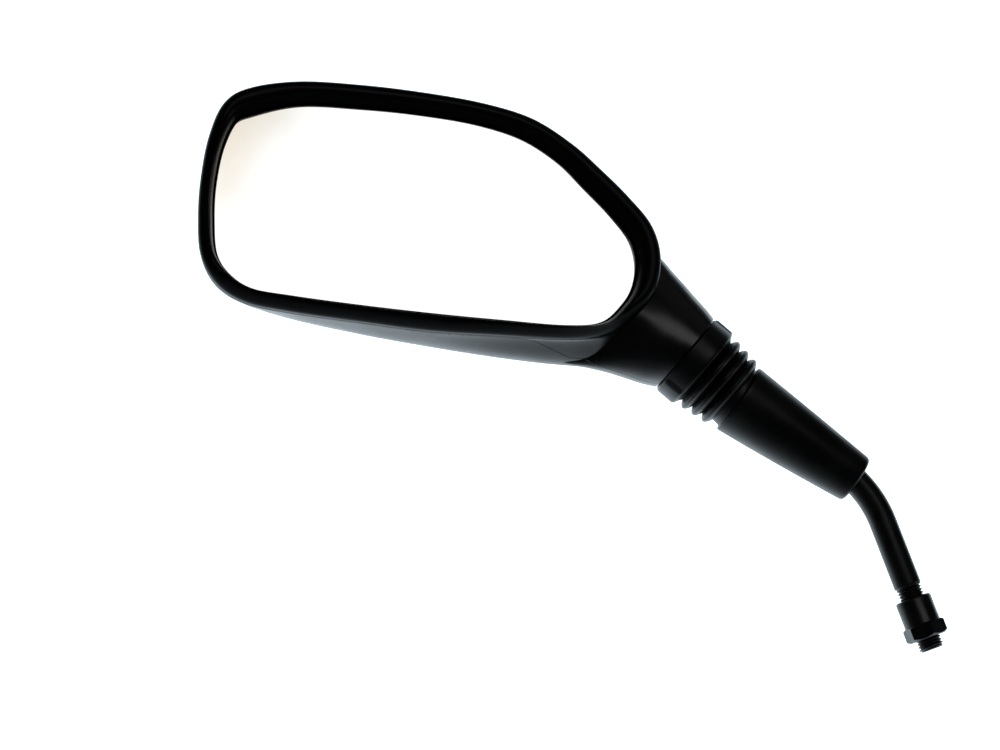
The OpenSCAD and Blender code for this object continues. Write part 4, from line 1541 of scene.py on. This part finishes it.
@dataclass
class Studio:
    """The camera, a pale floor and backdrop, and the light.

    Attributes:
        azimuth: the camera's turn to the left of the mirror's front, in degrees.
        elevation: its height, in degrees.
        lens: its focal length for the sensor below.
        sensor: the sensor's width.
        near_clip: the nearest distance that it shows, in metres.
        pixels: the focal length in pixels.
        scale: pixels a millimetre at the origin's distance.
        origin_px: the pixel of the photograph where the origin falls.
        centre_px: the middle of the photograph.
        floor: the floor's height.
        floor_front: the depth of the floor's front edge.
        curve_start: the depth where the floor starts to rise.
        curve: the radius of the rise.
        backdrop_top: the backdrop's height.
        half_width: half the stage's width.
        world_thrown: the strength of the surroundings as light.
        world_shown: their strength where a camera looks at them.
        paper: the floor's and the backdrop's material.
        lamps: the lights.
    """

    azimuth: float = -10.0
    elevation: float = -14.5
    lens: float = 90.0
    sensor: float = 36.0
    near_clip: float = 0.01
    pixels: float = 2500.0
    scale: float = 2.5
    origin_px: tuple[float, float] = (928.0, 638.0)
    centre_px: tuple[float, float] = (500.0, 375.0)
    floor: float = -420.0
    floor_front: float = -2500.0
    curve_start: float = 900.0
    curve: float = 900.0
    backdrop_top: float = 3200.0
    half_width: float = 4000.0
    world_thrown: float = 0.02
    world_shown: float = 1.0
    paper: Paper = Paper()
    lamps: tuple[Lamp, ...] = (
        Lamp("glass_light", (0.03, -1.66, 0.70), (-0.2, 0.0, 0.16), (1.05, 0.7), 2.7),
        Lamp("top_light", (0.5, -0.45, 1.1), (-0.1, 0.0, 0.13), (0.8, 0.5), 0.09))

    def axes(self) -> tuple[Array, Array, Array]:
        """The camera's directions: back is (sin a cos e, -cos a cos e, sin e) and right is (cos a, sin a, 0).

        Returns:
            Right, up and back.
        """
        a, e = math.radians(self.azimuth), math.radians(self.elevation)
        back = np.array([math.sin(a) * math.cos(e), -math.cos(a) * math.cos(e), math.sin(e)])
        right = np.array([math.cos(a), math.sin(a), 0.0])
        return right, np.cross(back, right), back

    def camera(self) -> None:
        """Places the camera so that the origin falls on its pixel of the photograph."""
        right, up, back = self.axes()
        distance = self.pixels / self.scale
        x = (self.origin_px[0] - self.centre_px[0]) / self.scale
        y = (self.centre_px[1] - self.origin_px[1]) / self.scale
        data = bpy.data.cameras.new("camera")
        data.lens = self.lens
        data.sensor_width = self.sensor
        data.clip_start = self.near_clip
        camera = bpy.data.objects.new("camera", data)
        camera.location = Vector((distance * back - x * right - y * up) * METRES)
        camera.rotation_euler = Vector(back).to_track_quat("Z", "Y").to_euler()
        bpy.context.scene.collection.objects.link(camera)
        bpy.context.scene.camera = camera

    def backdrop(self) -> None:
        """A floor that rises behind the object in a wide curve: a quarter circle between two flats."""
        turn = np.linspace(0.0, 0.5 * math.pi, 24)
        curve_y = self.curve_start + self.curve * np.sin(turn)
        curve_z = self.floor + self.curve * (1 - np.cos(turn))
        run = np.concatenate([[self.floor_front], curve_y, [self.curve_start + self.curve]])
        rise = np.concatenate([[self.floor], curve_z, [self.backdrop_top]])
        x = np.linspace(-self.half_width, self.half_width, 9)
        grid = np.stack(np.broadcast_arrays(x[None], run[:, None], rise[:, None]), -1)
        piece = smooth_object("backdrop", grid.reshape(-1, 3), Sheet(grid, wrap_columns=False).faces())
        piece.data.materials.append(self.paper.material())

    def surroundings(self) -> None:
        """An even surrounding light, thrown faintly and shown pale."""
        world = bpy.data.worlds.new("surroundings")
        world.use_nodes = True
        wires = Wiring(world.node_tree)
        shade = world.node_tree.nodes["Background"]
        shade.inputs["Color"].default_value = (1.0, 1.0, 1.0, 1.0)
        wires.feed(shade.inputs["Strength"], wires.seen(self.world_thrown, self.world_shown))
        bpy.context.scene.world = world

    def build(self) -> None:
        """Sets the whole stage."""
        bpy.context.scene.view_settings.view_transform = "Standard"
        self.camera()
        self.backdrop()
        self.surroundings()
        for lamp in self.lamps:
            lamp.hang()
        log.info("stage set")


def main() -> None:
    """Builds the mirror's looks in order."""
    logging.basicConfig(level=logging.INFO, format="%(name)s: %(message)s")
    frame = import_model()
    Studio().build()
    palette = Palette()
    Stem().build(palette)
    Boot().build(palette)
    Head().build(palette)
    InnerWorks().build(palette, frame["nodes"])


if __name__ == "__main__":
    main()
